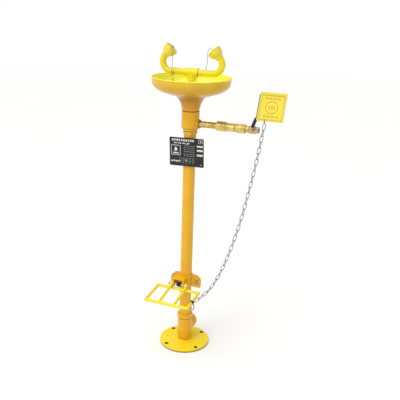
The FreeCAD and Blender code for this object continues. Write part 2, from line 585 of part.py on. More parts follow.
def clamp():
    low, high = CLAMP_Z
    height = high - low
    middle = (low + high) / 2

    def half(face_y, sign):
        """One half of the clamp, with a rounded ear on each side of the column."""
        outer = COLUMN_R + CLAMP_WALL
        band = ring(outer, COLUMN_R, (0, 0, low), (0, 0, high))
        y_low, y_high = sorted((face_y, face_y + sign * EAR_T))
        straight = EAR_REACH - height / 2
        ear = box((-EAR_REACH, y_low, low), (EAR_REACH, y_high, middle))
        ear = fused(ear, box((-straight, y_low, middle), (straight, y_high, high)))
        for side in (-1, 1):
            corner = rod(height / 2, (side * straight, y_low, middle), (side * straight, y_high, middle))
            ear = fused(ear, corner)
        y_low, y_high = sorted((face_y, sign * 2 * outer))
        half_band = band.common(box((-outer - 1, y_low, low), (outer + 1, y_high, high)))
        ear = ear.cut(rod(COLUMN_R, (0, 0, low), (0, 0, high)))
        return fused(half_band, ear)

    front, rear = half(-CLAMP_GAP / 2, -1), half(CLAMP_GAP / 2, 1)
    lug_x = ARM_HALF - EYE_RING_W / 2 - 0.5 - LUG_T
    ear_front = -CLAMP_GAP / 2 - EAR_T
    for side in (-1, 1):
        x = sorted((TREADLE_MID + side * lug_x, TREADLE_MID + side * (lug_x + LUG_T)))
        lug = box((x[0], LUG_FRONT, LUG_FOOT), (x[1], ear_front + 1, LUG_TOP))
        front = fused(front, lug.cut(rod(COLUMN_R, (0, 0, low), (0, 0, high))))
    roof = box((TREADLE_MID - lug_x, LUG_FRONT, LUG_TOP - 3.5), (TREADLE_MID + lug_x, -1.0, LUG_TOP))
    front = fused(front, roof.cut(rod(COLUMN_R, (0, 0, low), (0, 0, high))))
    span = ARM_HALF + EYE_RING_W / 2 + 2
    front = front.cut(rod(PIN_R, (TREADLE_MID - span, PIN_Y, PIN_Z), (TREADLE_MID + span, PIN_Y, PIN_Z)))
    parts = {}
    for name, x in (("left", -CLAMP_BOLT_X), ("right", CLAMP_BOLT_X)):
        back_face = CLAMP_GAP / 2 + EAR_T
        shank = rod(CLAMP_BOLT_R, (x, ear_front, middle), (x, back_face + 10, middle))
        front, rear = front.cut(shank), rear.cut(shank)
        head = hexagon(CLAMP_BOLT_AF, (x, ear_front, middle), (0, -1, 0), CLAMP_HEAD_H)
        nut = hexagon(CLAMP_BOLT_AF, (x, back_face, middle), (0, 1, 0), CLAMP_NUT_H)
        parts["clamp_bolt_" + name] = fused(shank, head)
        parts["clamp_nut_" + name] = nut.cut(shank)
    parts["clamp_front"], parts["clamp_rear"] = front, rear

    pin = rod(PIN_R, (TREADLE_MID - span, PIN_Y, PIN_Z), (TREADLE_MID + span + 3, PIN_Y, PIN_Z))
    head = rod(PIN_R + 2.5, (TREADLE_MID - span - 3, PIN_Y, PIN_Z), (TREADLE_MID - span, PIN_Y, PIN_Z))
    clip_x = TREADLE_MID + span
    clip = ring(PIN_R + 2.5, PIN_R, (clip_x, PIN_Y, PIN_Z), (clip_x + 1.6, PIN_Y, PIN_Z))
    parts["hinge_pin"] = fused(pin, head, clip)

    pitch = 2 * SPRING_WIRE_R + 0.4
    length = pitch * SPRING_TURNS
    start_x = TREADLE_MID - length / 2
    helix = Part.makeHelix(pitch, length, SPRING_COIL_R)
    section = Part.Wire(Part.makeCircle(SPRING_WIRE_R, Vector(SPRING_COIL_R, 0, 0), Y))
    coil = Part.Wire(helix.Edges).makePipeShell([section], True, True)
    coil.Placement = FreeCAD.Placement(Vector(start_x, PIN_Y, PIN_Z), FreeCAD.Rotation(Z, X))
    parts["return_spring"] = coil
    return parts


def sign():
    back = SIGN_FRONT + SIGN_T
    plate = box((-SIGN_W / 2, SIGN_FRONT, -SIGN_H / 2), (SIGN_W / 2, back, SIGN_H / 2))
    plate = plate.makeFillet(3.0, [e for e in plate.Edges if e.BoundBox.YLength > SIGN_T - 0.01])
    parts = {}
    roll = FreeCAD.Placement(Vector(0, 0, SIGN_Z), FreeCAD.Rotation(Y, -SIGN_ROLL))
    plate.Placement = roll
    for name, offset in (("low", -SIGN_STRAP_UP), ("high", SIGN_STRAP_UP)):
        z = SIGN_Z + offset
        strap = ring(COLUMN_R + STRAP_T, COLUMN_R, (0, 0, z - STRAP_H / 2), (0, 0, z + STRAP_H / 2))
        pad = box((-9, back, z - STRAP_H / 2), (9, -COLUMN_R, z + STRAP_H / 2))
        pad = pad.cut(rod(COLUMN_R, (0, 0, z - STRAP_H), (0, 0, z + STRAP_H)))
        screw_hole = rod(SIGN_SCREW_R, (0, SIGN_FRONT, z), (0, -COLUMN_R - 0.5, z))
        head = turned([(0, 0), (4, 0), (3, 1.6), (0, 2)], (0, SIGN_FRONT, z), (0, -1, 0))
        parts["sign_strap_" + name] = fused(strap, pad).cut(screw_hole)
        plate = plate.cut(screw_hole)
        parts["sign_screw_" + name] = fused(screw_hole, head)
    parts["sign_plate"] = plate
    return parts


def tethers():
    parts = {}
    for name, route in TETHER_ROUTES.items():
        parts["tether_" + name] = cord(route, TETHER_R, "tether_" + name)
    for name, side in (("left", -1), ("right", 1)):
        x = TETHER_ROUTES[name][-1][0]
        middle = Vector(x, side * TETHER_EYE_OUT, MANIFOLD_Z - TETHER_EYE_DOWN)
        pipe_axis = Vector(x, 0, MANIFOLD_Z)
        foot = rod(1.6, pipe_axis, middle - (middle - pipe_axis).normalize() * TETHER_EYE_R)
        eye = Part.makeTorus(TETHER_EYE_R, 0.8, middle, X)
        pipe = rod(WATER_R, (x - 5, 0, MANIFOLD_Z), (x + 5, 0, MANIFOLD_Z))
        parts["tether_eye_" + name] = fused(eye, foot).cut(pipe)
    return parts


def chain():
    return {"pull_chain": cord(CHAIN_ROUTE, CHAIN_R, "pull_chain")}


def main():
    os.makedirs("parts", exist_ok=True)
    for section in (base, lower_tee, column, upper_tee, bowl, riser, manifold, valve_arm, lever, treadle,
                    clamp, sign, tethers, chain):
        for node, shape in section().items():
            if not shape.isValid() or len(shape.Solids) != 1:
                print("CHECK", node, shape.isValid(), len(shape.Solids))
            shape.exportStep("parts/" + node + ".step")


main()
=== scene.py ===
import json
from math import cos, pi, radians, sin

import bmesh
import bpy
from bpy.props import FloatProperty, FloatVectorProperty, IntProperty, PointerProperty
from mathutils import Matrix, Vector


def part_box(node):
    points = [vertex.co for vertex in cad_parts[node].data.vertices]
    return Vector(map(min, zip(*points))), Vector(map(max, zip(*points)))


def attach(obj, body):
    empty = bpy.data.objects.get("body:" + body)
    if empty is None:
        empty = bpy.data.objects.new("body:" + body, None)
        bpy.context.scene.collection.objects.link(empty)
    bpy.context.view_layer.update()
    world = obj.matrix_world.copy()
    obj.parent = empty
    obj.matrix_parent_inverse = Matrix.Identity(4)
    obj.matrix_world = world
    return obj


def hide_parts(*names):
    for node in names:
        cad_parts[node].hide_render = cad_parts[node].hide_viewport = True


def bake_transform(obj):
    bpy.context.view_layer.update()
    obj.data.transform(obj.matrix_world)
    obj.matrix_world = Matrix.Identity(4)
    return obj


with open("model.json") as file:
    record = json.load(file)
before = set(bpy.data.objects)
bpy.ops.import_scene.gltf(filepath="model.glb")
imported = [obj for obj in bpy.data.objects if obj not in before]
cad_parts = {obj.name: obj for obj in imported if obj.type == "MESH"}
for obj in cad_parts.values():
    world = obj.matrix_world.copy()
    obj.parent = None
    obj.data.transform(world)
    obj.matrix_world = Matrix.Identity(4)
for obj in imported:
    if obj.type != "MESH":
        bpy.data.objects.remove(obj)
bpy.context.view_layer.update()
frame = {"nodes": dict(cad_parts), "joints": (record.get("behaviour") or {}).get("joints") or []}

bl_info = {
    "name": "Pedestal Eyewash Station",
    "version": (1, 0, 0),
    "blender": (4, 5, 0),
    "location": "View3D > Sidebar > Eyewash",
    "description": "Builds the looks of a pedestal eyewash station on its packed frame",
    "category": "Object",
}

move = Matrix.Translation


def low(node):
    return Vector(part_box(node)[0])


def high(node):
    return Vector(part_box(node)[1])


def middle(node):
    return (low(node) + high(node)) / 2


def joint(name):
    return next(j for j in frame["joints"] if j["name"] == name)


# Sizes shared with the part, in metres and degrees

HOLE_CIRCLE_R = 0.078
HOLE_PHASE = 55
PIPE_R = 0.01065
BOWL_HOLE_R = 0.026
BOWL_WALL = 0.0026
PLATE_LEAN = 24.5
PLATE_W = 0.0855
PLATE_H = 0.0940
SIGN_ROLL = -2.0

# Counts and small sizes of the added pieces, in metres

LINK_INSET = 0.0042
WRAP_TURNS = 3
WRAP_STEPS = 60
GRIP_RIBS = 9
MARK_T = 0.00025
DROP_STEPS = 24

# The stage's fixed sizes, in metres and degrees

FLOOR_R = 9.0
KEY_PLACE = (-1.1, -2.2, 2.2)
KEY_AIM = (0.05, 0, 0.6)
KEY_SIZE = 1.4
SUN_AIM = (0.25, 0.55, -1.6)
SUN_SPREAD = 75

# Weld beads round the hub and round each treadle arm

HUB_BEADS = 62
ROD_BEADS = 22

# The routes of the hanging pieces, in metres

CHAIN_ROUTE = [
    (0.2632, -0.0290, 0.8545), (0.2508, -0.0350, 0.7530), (0.2305, -0.0450, 0.6325), (0.2090, -0.0560, 0.5180),
    (0.1800, -0.0680, 0.4080), (0.1500, -0.0800, 0.3240), (0.1150, -0.0940, 0.2600), (0.0814, -0.1069, 0.2345),
]
TETHER_ROUTES = {
    "left": [(-0.0650, -0.0032, 1.0805), (-0.0614, -0.0160, 1.0792), (-0.0590, -0.0260, 1.0690),
             (-0.0590, -0.0250, 1.0450), (-0.0615, -0.0210, 1.0170), (-0.0660, -0.0160, 0.9916)],
    "right": [(0.0635, 0.0034, 1.0805), (0.0545, 0.0086, 1.0776), (0.0475, 0.0130, 1.0670),
              (0.0480, 0.0170, 1.0430), (0.0430, 0.0195, 1.0160), (0.0330, 0.0160, 0.9916)],
}


# Settings that a user would change


class PaintSettings(bpy.types.PropertyGroup):
    lemon: FloatVectorProperty(name="Lemon paint", description="Bowl, plate and treadle", subtype="COLOR",
                               size=3, min=0, max=1, default=(0.88, 0.735, 0.014))
    amber: FloatVectorProperty(name="Amber paint", description="Column, tees and bracket", subtype="COLOR",
                               size=3, min=0, max=1, default=(0.82, 0.44, 0.006))
    # Painted light: the bowl's inside uses a brighter copy of its yellow.
    bowl: FloatVectorProperty(name="Bowl paint", description="Inside of the bowl", subtype="COLOR",
                              size=3, min=0, max=1, default=(0.99, 0.96, 0.10))
    brass: FloatVectorProperty(name="Brass", description="Bare valve arm fittings", subtype="COLOR",
                               size=3, min=0, max=1, default=(0.77, 0.585, 0.175))
    zinc: FloatVectorProperty(name="Zinc", description="Bolts, rings and screws", subtype="COLOR",
                              size=3, min=0, max=1, default=(0.48, 0.49, 0.50))
    black: FloatVectorProperty(name="Black", description="Sign and lever grip", subtype="COLOR",
                               size=3, min=0, max=1, default=(0.011, 0.011, 0.012))
    mark: FloatVectorProperty(name="Mark", description="Pale marks on the sign", subtype="COLOR",
                              size=3, min=0, max=1, default=(0.72, 0.72, 0.66))
    peel: FloatProperty(name="Orange peel", description="Depth of the paint's orange peel", unit="LENGTH",
                        min=0, max=0.001, default=0.00012, precision=5)


class ChainSettings(bpy.types.PropertyGroup):
    pitch: FloatProperty(name="Pitch", description="Inside length of a link", unit="LENGTH", default=0.0190)
    width: FloatProperty(name="Width", description="Outside width of a link", unit="LENGTH", default=0.0125)
    wire: FloatProperty(name="Wire", description="Thickness of a link's wire", unit="LENGTH", default=0.0028)
    length: FloatProperty(name="Length", description="Chain between its rings", unit="LENGTH", default=0.660)


class TetherSettings(bpy.types.PropertyGroup):
    thickness: FloatProperty(name="Thickness", description="Thickness of a tether", unit="LENGTH", default=0.0018)
    left: FloatProperty(name="Left length", description="Left tether's length", unit="LENGTH", default=0.1056)
    right: FloatProperty(name="Right length", description="Right tether's length", unit="LENGTH", default=0.1018)


class HeadSettings(bpy.types.PropertyGroup):
    ribs: IntProperty(name="Ribs", description="Grip ribs round a dust cap", min=6, default=36)
    rings: IntProperty(name="Rings", description="Raised rings on a dust cap's top", min=1, default=3)


class StageSettings(bpy.types.PropertyGroup):
    azimuth: FloatProperty(name="Azimuth", description="Camera's turn round the object", subtype="ANGLE",
                           default=radians(22.0))
    distance: FloatProperty(name="Distance", description="From the column's axis", unit="LENGTH", default=2.0084)
    height: FloatProperty(name="Height", description="Camera above the floor", unit="LENGTH", default=1.2339)
    pitch: FloatProperty(name="Pitch", description="Camera's downward tilt", subtype="ANGLE",
                         default=radians(18.54))
    yaw: FloatProperty(name="Yaw", description="Camera's turn away from the column", subtype="ANGLE",
                       default=radians(1.18))
    roll: FloatProperty(name="Roll", description="Camera's roll", subtype="ANGLE", default=radians(2.0))
    lens: FloatProperty(name="Lens", description="Focal length in millimetres", default=54.42)
    sky: FloatProperty(name="Sky", description="Strength of the white surroundings", default=0.50)
    sun: FloatProperty(name="Overhead light", description="Strength of the even light from above", default=2.0)
    key: FloatProperty(name="Key light", description="Power of the large front light in watts", default=13.0)


# Shader groups and materials


def socket(interface, name, kind, default=None, output=False):
    item = interface.new_socket(name, in_out="OUTPUT" if output else "INPUT", socket_type="NodeSocket" + kind)
    if default is not None:
        item.default_value = default


def fill(tree, end, value):
    """Gives a node's input a value, or a link from another node's output."""
    if isinstance(value, bpy.types.NodeSocket):
        tree.links.new(value, end)
    else:
        end.default_value = value


def node(tree, kind, *ordered, operation=None, **named):
    """A new node with its inputs filled, by place or by name."""
    made = tree.nodes.new(kind)
    if operation:
        made.operation = operation
    for end, value in zip(made.inputs, ordered):
        fill(tree, end, value)
    for name, value in named.items():
        fill(tree, made.inputs[name.replace("_", " ")], value)
    return made


def worked(tree, operation, *values):
    return node(tree, "ShaderNodeMath", *values, operation=operation).outputs[0]


def vector_worked(tree, operation, *values):
    return node(tree, "ShaderNodeVectorMath", *values, operation=operation).outputs


def spanned(tree, value, start, end, first=0.0, last=1.0):
    """The value's share of the way from start to end, clamped, as a number from first to last."""
    return node(tree, "ShaderNodeMapRange", Value=value, From_Min=start, From_Max=end, To_Min=first,
                To_Max=last).outputs["Result"]


def mixed(tree, share, first, second):
    mix = tree.nodes.new("ShaderNodeMix")
    mix.data_type = "RGBA"
    for place, value in ((0, share), (6, first), (7, second)):
        fill(tree, mix.inputs[place], value)
    return mix.outputs[2]


def own_place(tree):
    return tree.nodes.new("ShaderNodeTexCoord").outputs["Object"]


def split(tree, vector):
    return node(tree, "ShaderNodeSeparateXYZ", vector).outputs


def group_tree(name, inputs, outputs):
    tree = bpy.data.node_groups.new(name, "ShaderNodeTree")
    for title, kind, default in inputs:
        socket(tree.interface, title, kind, default)
    for title, kind in outputs:
        socket(tree.interface, title, kind, output=True)
    return tree, tree.nodes.new("NodeGroupInput").outputs, tree.nodes.new("NodeGroupOutput").inputs


def peel_group():
    """Orange peel of sprayed paint, with a few specks of dust under it: a height."""
    tree, given, result = group_tree("orange_peel", [("Scale", "Float", 420.0), ("Specks", "Float", 0.3)],
                                     [("Height", "Float")])
    place = own_place(tree)
    waves = node(tree, "ShaderNodeTexNoise", Vector=place, Scale=given["Scale"], Detail=1.5, Roughness=0.45)
    dust = node(tree, "ShaderNodeTexVoronoi", Vector=place, Scale=90.0)
    near = spanned(tree, dust.outputs["Distance"], 0.10, 0.02)
    specks = worked(tree, "MULTIPLY", near, given["Specks"])
    fill(tree, result["Height"], worked(tree, "ADD", waves.outputs["Fac"], specks))


def tone_group():
    """Slow and fine changes of tone: a colour between two, and the mask that made it."""
    tree, given, result = group_tree(
        "tone_change", [("Colour", "Color", (0.8, 0.8, 0.8, 1)), ("Darker", "Color", (0.4, 0.4, 0.4, 1)),
                        ("Scale", "Float", 9.0), ("Amount", "Float", 0.4)],
        [("Colour", "Color"), ("Mask", "Float")])
    clouds = node(tree, "ShaderNodeTexNoise", Vector=own_place(tree), Scale=given["Scale"], Detail=6.0,
                  Roughness=0.62)
    amount = worked(tree, "MULTIPLY", spanned(tree, clouds.outputs["Fac"], 0.42, 0.72), given["Amount"])
    fill(tree, result["Colour"], mixed(tree, amount, given["Colour"], given["Darker"]))
    fill(tree, result["Mask"], amount)


def fade_group():
    """From one colour at the top to another lower down, broken up by slow clouds."""
    tree, given, result = group_tree(
        "height_fade", [("Upper", "Color", (0.8, 0.8, 0.8, 1)), ("Lower", "Color", (0.4, 0.4, 0.4, 1)),
                        ("Top", "Float", 1.0), ("Foot", "Float", 0.0)], [("Colour", "Color")])
    place = own_place(tree)
    clouds = node(tree, "ShaderNodeTexNoise", Vector=place, Scale=30.0, Detail=4.0)
    share = node(tree, "ShaderNodeMath", spanned(tree, split(tree, place)["Z"], given["Foot"], given["Top"]),
                 spanned(tree, clouds.outputs["Fac"], 0.0, 1.0, -0.18, 0.18), operation="ADD")
    share.use_clamp = True
    fill(tree, result["Colour"], mixed(tree, share.outputs[0], given["Lower"], given["Upper"]))


def grain_group():
    """Fine drawn lines along one way, as on drawn wire and turned metal: a height."""
    tree, given, result = group_tree("drawn_grain", [("Stretch", "Vector", (900.0, 900.0, 60.0))],
                                     [("Height", "Float")])
    stretched = vector_worked(tree, "MULTIPLY", own_place(tree), given["Stretch"])[0]
    lines = node(tree, "ShaderNodeTexNoise", Vector=stretched, Scale=1.0, Detail=3.0)
    fill(tree, result["Height"], lines.outputs["Fac"])


def grouped(tree, name, **inputs):
    made = tree.nodes.new("ShaderNodeGroup")
    made.node_tree = bpy.data.node_groups[name]
    for key, value in inputs.items():
        made.inputs[key].default_value = value
    return made.outputs


def surface(name, **sockets):
    """A material with its Principled shader, whose plain values go on the shader's own sockets."""
    material = bpy.data.materials.new(name)
    material.use_nodes = True
    shader = material.node_tree.nodes["Principled BSDF"]
    for key, value in sockets.items():
        shader.inputs[key.replace("_", " ")].default_value = value
    return material, shader


def roughened(shader, mask, roughness):
    tree = shader.id_data
    fill(tree, shader.inputs["Roughness"], spanned(tree, mask, 0.0, 1.0, *roughness))


def bumped(shader, height, distance):
    tree = shader.id_data
    bump = node(tree, "ShaderNodeBump", Height=height, Strength=1.0, Distance=distance)
    fill(tree, shader.inputs["Normal"], bump.outputs["Normal"])


def peeled(shader, scale, specks, depth):
    bumped(shader, grouped(shader.id_data, "orange_peel", Scale=scale, Specks=specks)["Height"], depth)


def grained(shader, stretch, depth):
    bumped(shader, grouped(shader.id_data, "drawn_grain", Stretch=stretch)["Height"], depth)


def darker(colour, share):
    return tuple(c * share for c in colour)


def toned(name, colour, shade, scale, amount, roughness, peel=None, grain=None, **sockets):
    """A material whose colour and roughness change together, with a peel or a drawn grain on it."""
    material, shader = surface(name, **sockets)
    tone = grouped(shader.id_data, "tone_change", Colour=(*colour, 1), Darker=(*shade, 1), Scale=scale,
                   Amount=amount)
    fill(shader.id_data, shader.inputs["Base Color"], tone["Colour"])
    roughened(shader, tone["Mask"], roughness)
    if peel:
        peeled(shader, *peel)
    if grain:
        grained(shader, *grain)
    return material


ENAMEL = {"Coat_Weight": 0.12, "Coat_Roughness": 0.12, "Specular_IOR_Level": 0.35}
ENAMEL_ROUGHNESS = (0.26, 0.46)
ENAMEL_SPECKS = 0.35


def epoxy_paint(name, colour, shade, depth, scale=420.0):
    return toned(name, colour, shade, 11.0, 0.55, ENAMEL_ROUGHNESS, peel=(scale, ENAMEL_SPECKS, depth), **ENAMEL)


def faded(name, upper, lower, top, foot, scale, roughness, **sockets):
    """One colour at the top and another at the foot."""
    material, shader = surface(name, **sockets)
    fade = grouped(shader.id_data, "height_fade", Upper=(*upper, 1), Lower=(*lower, 1), Top=top, Foot=foot)
    fill(shader.id_data, shader.inputs["Base Color"], fade["Colour"])
    roughened(shader, grouped(shader.id_data, "tone_change", Scale=scale, Amount=0.6)["Mask"], roughness)
    return material, shader


def shade_fade_paint(name, upper, lower, top, foot, depth):
    """Paint with painted shade: its colour changes from one height to another."""
    material, shader = faded(name, upper, lower, top, foot, 14.0, ENAMEL_ROUGHNESS, **ENAMEL)
    peeled(shader, 420.0, ENAMEL_SPECKS, depth)
    return material


def lever_steel():
    """Pale at the lever's root, dark where it carries the plate."""
    root = joint("valve_turn")["pos_m"][2]
    material, shader = faded("lever_steel", (0.02, 0.02, 0.02), (0.45, 0.45, 0.45), root + 0.016, root + 0.011,
                             90.0, (0.35, 0.6), Metallic=0.5)
    grained(shader, (600.0, 600.0, 90.0), 0.0001)
    return material


def overlaid(material, mask, colour):
    """Lays one more colour over a material's own, where a mask says."""
    tree = material.node_tree
    end = tree.nodes["Principled BSDF"].inputs["Base Color"]
    fill(tree, end, mixed(tree, mask, end.links[0].from_socket, (*colour, 1)))


def drilled_paint(colour, shade, depth):
    """The base flange's paint, with painted shade on the walls of its four bolt holes and on its rim."""
    material = epoxy_paint("base_epoxy_painted_shade", colour, shade, depth, 300.0)
    tree = material.node_tree
    place = own_place(tree)
    turn = tree.nodes.new("ShaderNodeMapping")
    turn.vector_type = "TEXTURE"
    turn.inputs["Rotation"].default_value = (0, 0, radians(HOLE_PHASE))
    fill(tree, turn.inputs["Vector"], place)
    fold = vector_worked(tree, "ABSOLUTE", turn.outputs["Vector"])[0]
    flat = vector_worked(tree, "MULTIPLY", fold, (1, 1, 0))[0]
    away = [vector_worked(tree, "DISTANCE", flat, hole)["Value"]
            for hole in ((HOLE_CIRCLE_R, 0, 0), (0, HOLE_CIRCLE_R, 0))]
    # Painted shade: near-black on the walls of the four bolt holes.
    overlaid(material, spanned(tree, worked(tree, "MINIMUM", *away), 0.0074, 0.0068), (0.055, 0.034, 0.012))
    # Painted shade: the flange's rim darkens towards its foot.
    overlaid(material, spanned(tree, split(tree, place)["Z"], 0.0078, 0.0040), (0.34, 0.25, 0.012))
    return material


def groove_shade_paint(name, colour, shade, depth, lines, port=None):
    """Paint with painted shade in dark lines where a fitting's joints and steps run round it, and painted shadow
    beyond a port's root.
    """
    material = epoxy_paint(name, colour, shade, depth)
    tree = material.node_tree
    place = split(tree, own_place(tree))
    masks = []
    for level, half in lines:
        away = worked(tree, "ABSOLUTE", worked(tree, "SUBTRACT", place["Z"], level))
        masks.append(spanned(tree, away, half, half * 0.4))
    if port:
        masks.append(spanned(tree, place["X"], port, port + 0.004, 0.0, 0.9))
    while len(masks) > 1:
        masks.append(worked(tree, "MAXIMUM", masks.pop(0), masks.pop(0)))
    # Painted shade: the groove lines and the port's side are darkened to a third of the paint's colour.
    overlaid(material, masks[0], darker(colour, 0.30))
    return material


def zinc_plate(name, colour):
    return toned(name, colour, darker(colour, 0.45), 120.0, 0.7, (0.3, 0.55),
                 grain=((600.0, 600.0, 600.0), 0.0001), Metallic=0.9)


def moulded_plastic(name, colour, shade):
    return toned(name, colour, shade, 40.0, 0.5, (0.28, 0.42), peel=(900.0, 0.1, 0.00006), Coat_Weight=0.2,
                 Coat_Roughness=0.2, Subsurface_Weight=0.06, Subsurface_Scale=0.004)


def tether_cable():
    """Stranded cable, its lay running round its own length."""
    material = toned("tether_cable", (0.42, 0.43, 0.45), (0.14, 0.14, 0.15), 500.0, 0.8, (0.3, 0.5), Metallic=0.7)
    tree = material.node_tree
    strands = node(tree, "ShaderNodeTexWave", Vector=own_place(tree), Scale=420.0, Distortion=1.0)
    strands.bands_direction = "DIAGONAL"
    bumped(tree.nodes["Principled BSDF"], strands.outputs["Fac"], 0.0004)
    return material


def paints():
    """Every finish by name, made once."""
    if finishes:
        return finishes
    chosen = bpy.context.scene.eyewash_paint
    lemon, amber, black, peel = tuple(chosen.lemon), tuple(chosen.amber), tuple(chosen.black), chosen.peel
    rust = (0.70, 0.30, 0.008)
    tee, collar, neck = low("upper_tee").z, high("lower_tee").z, "bowl_tailpiece"
    for group in (peel_group, tone_group, grain_group, fade_group):
        group()
    finishes.update({
        "lemon": epoxy_paint("lemon_epoxy", lemon, (0.84, 0.52, 0.015), peel),
        "amber": epoxy_paint("amber_epoxy", amber, rust, peel),
        "tee": groove_shade_paint("tee_epoxy_painted_shade", amber, rust, peel, [(tee + 0.0008, 0.0016), (tee - 0.0085, 0.0016)],
                             high("upper_tee").x - 0.0055),
        "collar": groove_shade_paint("collar_epoxy_painted_shade", amber, rust, peel, [(collar - 0.0178, 0.0020)]),
        # Painted shade: the bowl's outside darkens towards its foot, where less light falls.
        "shaded": shade_fade_paint("bowl_outer_painted_shade", (0.80, 0.52, 0.015), (0.50, 0.235, 0.008),
                              high("bowl").z, low("bowl").z + 0.014, peel),
        # Painted shadow: the neck darkens towards its top, under the bowl.
        "neck": shade_fade_paint("neck_amber_painted_shadow", (0.42, 0.19, 0.006), (0.74, 0.36, 0.006),
                            high(neck).z + 0.004, low(neck).z, peel),
        # Painted light: a brighter copy of the bowl's yellow for its inside and upward faces.
        "bowl": epoxy_paint("bowl_inner_painted_light", tuple(chosen.bowl), (0.96, 0.86, 0.05), peel),
        # Painted shade: a darker copy of the lemon paint, toned down where the plate faces the light.
        "plate": epoxy_paint("plate_epoxy_painted_shade", (0.79, 0.645, 0.011), (0.70, 0.52, 0.009), peel),
        "relief": epoxy_paint("relief_epoxy", (0.62, 0.43, 0.008), (0.52, 0.33, 0.007), peel),
        "base": drilled_paint((0.95, 0.74, 0.016), (0.88, 0.60, 0.012), peel),
        "iron": zinc_plate("dark_iron", (0.06, 0.058, 0.055)),
        "zinc": zinc_plate("zinc_plate", tuple(chosen.zinc)),
        "chain": zinc_plate("chain_zinc", (0.40, 0.41, 0.43)),
        "lever": lever_steel(),
        "cable": tether_cable(),
        "brass": toned("bare_brass", tuple(chosen.brass), (0.30, 0.18, 0.07), 55.0, 0.7, (0.28, 0.55),
                       grain=((70.0, 900.0, 900.0), 0.00012), Metallic=0.7),
        "casting": toned("bare_casting", (0.62, 0.46, 0.38), (0.36, 0.26, 0.20), 80.0, 0.7, (0.35, 0.6),
                         peel=(650.0, 0.8, 0.0003), Metallic=0.6),
        "grip": toned("vinyl_grip", black, darker(black, 2.2), 60.0, 0.6, (0.42, 0.6),
                      peel=(1500.0, 0.0, 0.00008), Specular_IOR_Level=0.4),
        "gasket": toned("gasket_rubber", (0.10, 0.045, 0.010), (0.03, 0.015, 0.006), 90.0, 0.8, (0.6, 0.8),
                        Specular_IOR_Level=0.3),
        "sign": toned("sign_black", black, (0.036, 0.038, 0.040), 35.0, 0.6, (0.26, 0.46),
                      peel=(700.0, 0.15, 0.00004), Specular_IOR_Level=0.35),
        "mark": toned("sign_mark", tuple(chosen.mark), darker(chosen.mark, 0.6), 160.0, 0.6, (0.4, 0.6)),
        "faint": toned("sign_faint", (0.30, 0.30, 0.29), (0.18, 0.18, 0.174), 160.0, 0.6, (0.4, 0.6)),
        "plastic": moulded_plastic("cap_plastic", (0.84, 0.70, 0.045), (0.76, 0.56, 0.03)),
        "spray": moulded_plastic("spray_plastic", (0.80, 0.72, 0.24), (0.64, 0.54, 0.16)),
        "stud": moulded_plastic("stud_plastic", (0.16, 0.12, 0.02), (0.08, 0.06, 0.015)),
        "steel": toned("bright_steel", (0.72, 0.72, 0.70), (0.45, 0.45, 0.44), 70.0, 0.5, (0.18, 0.34),
                       grain=((80.0, 1200.0, 1200.0), 0.00006), Metallic=1.0),
        "floor": toned("pale_floor", (0.93, 0.93, 0.92), (0.90, 0.90, 0.89), 2.0, 0.5, (0.7, 0.8),
                       Specular_IOR_Level=0.1),
    })
    return finishes


finishes = {}

NODE_FINISHES = {
    "base_flange": "base", "lower_tee": "collar", "column": "amber", "column_reducer": "tee", "upper_tee": "tee",
    "bowl_tailpiece": "amber",
    "clamp_front": "amber", "clamp_rear": "amber", "sign_strap": "amber", "bowl_strainer": "steel",
    "bowl": "bowl", "treadle": "lemon", "push_plate": "plate", "plate_rivet": "plate", "manifold": "lemon",
    "return_spring": "iron", "head_body": "plastic",
    "head_face": "spray", "dust_cap": "plastic", "riser": "lemon", "arm_nipple": "brass", "union": "brass",
    "arm_coupling": "brass", "valve_body": "brass", "inlet_spigot": "casting", "stem_gland": "brass",
    "lever_nut": "brass", "valve_stem": "brass", "valve_ball": "steel", "lever_bar": "lever", "tee_gasket": "gasket",
    "sign_plate": "sign", "pull_chain": "chain", "tether_eye": "zinc", "tether": "cable",
}


# Shapes


def linked(name, data):
    """A new object in the scene."""
    thing = bpy.data.objects.new(name, data)
    bpy.context.scene.collection.objects.link(thing)
    return thing


def softened(outline, radius, steps=3):
    """The closed outline with each corner rounded by up to a radius."""
    made = []
    for before, corner, after in zip(outline[-1:] + outline[:-1], outline, outline[1:] + outline[:1]):
        before, corner, after = Vector(before), Vector(corner), Vector(after)
        if corner.x < 1e-7:
            made.append(corner)
            continue
        back, on = before - corner, after - corner
        first = corner + back.normalized() * min(radius, 0.45 * back.length)
        last = corner + on.normalized() * min(radius, 0.45 * on.length)
        for k in range(steps + 1):
            t = k / steps
            made.append(first * (1 - t) ** 2 + corner * 2 * t * (1 - t) + last * t**2)
    return made


def finished_mesh(name, form, sharp=radians(38)):
    """Closes a bmesh into a smooth-shaded mesh with outward faces."""
    bmesh.ops.remove_doubles(form, verts=form.verts, dist=1e-7)
    bmesh.ops.dissolve_degenerate(form, edges=form.edges, dist=1e-8)
    bmesh.ops.recalc_face_normals(form, faces=form.faces)
    mesh = bpy.data.meshes.new(name)
    form.to_mesh(mesh)
    form.free()
    mesh.shade_smooth()
    mesh.set_sharp_from_angle(angle=sharp)
    return mesh


def turned(name, outline, place=Matrix(), steps=96):
    """A closed outline of radii and heights, turned about the Z axis and put in its place."""
    form = bmesh.new()
    rings = []
    for k in range(steps):
        angle = 2 * pi * k / steps
        rings.append([form.verts.new((r * cos(angle), r * sin(angle), h)) for r, h in outline])
    for here, there in zip(rings, rings[1:] + rings[:1]):
        for k in range(len(outline)):
            following = (k + 1) % len(outline)
            if outline[k][0] < 1e-7 and outline[following][0] < 1e-7:
                continue
            form.faces.new((here[k], here[following], there[following], there[k]))
    bmesh.ops.transform(form, matrix=place, verts=form.verts)
    return finished_mesh(name, form)


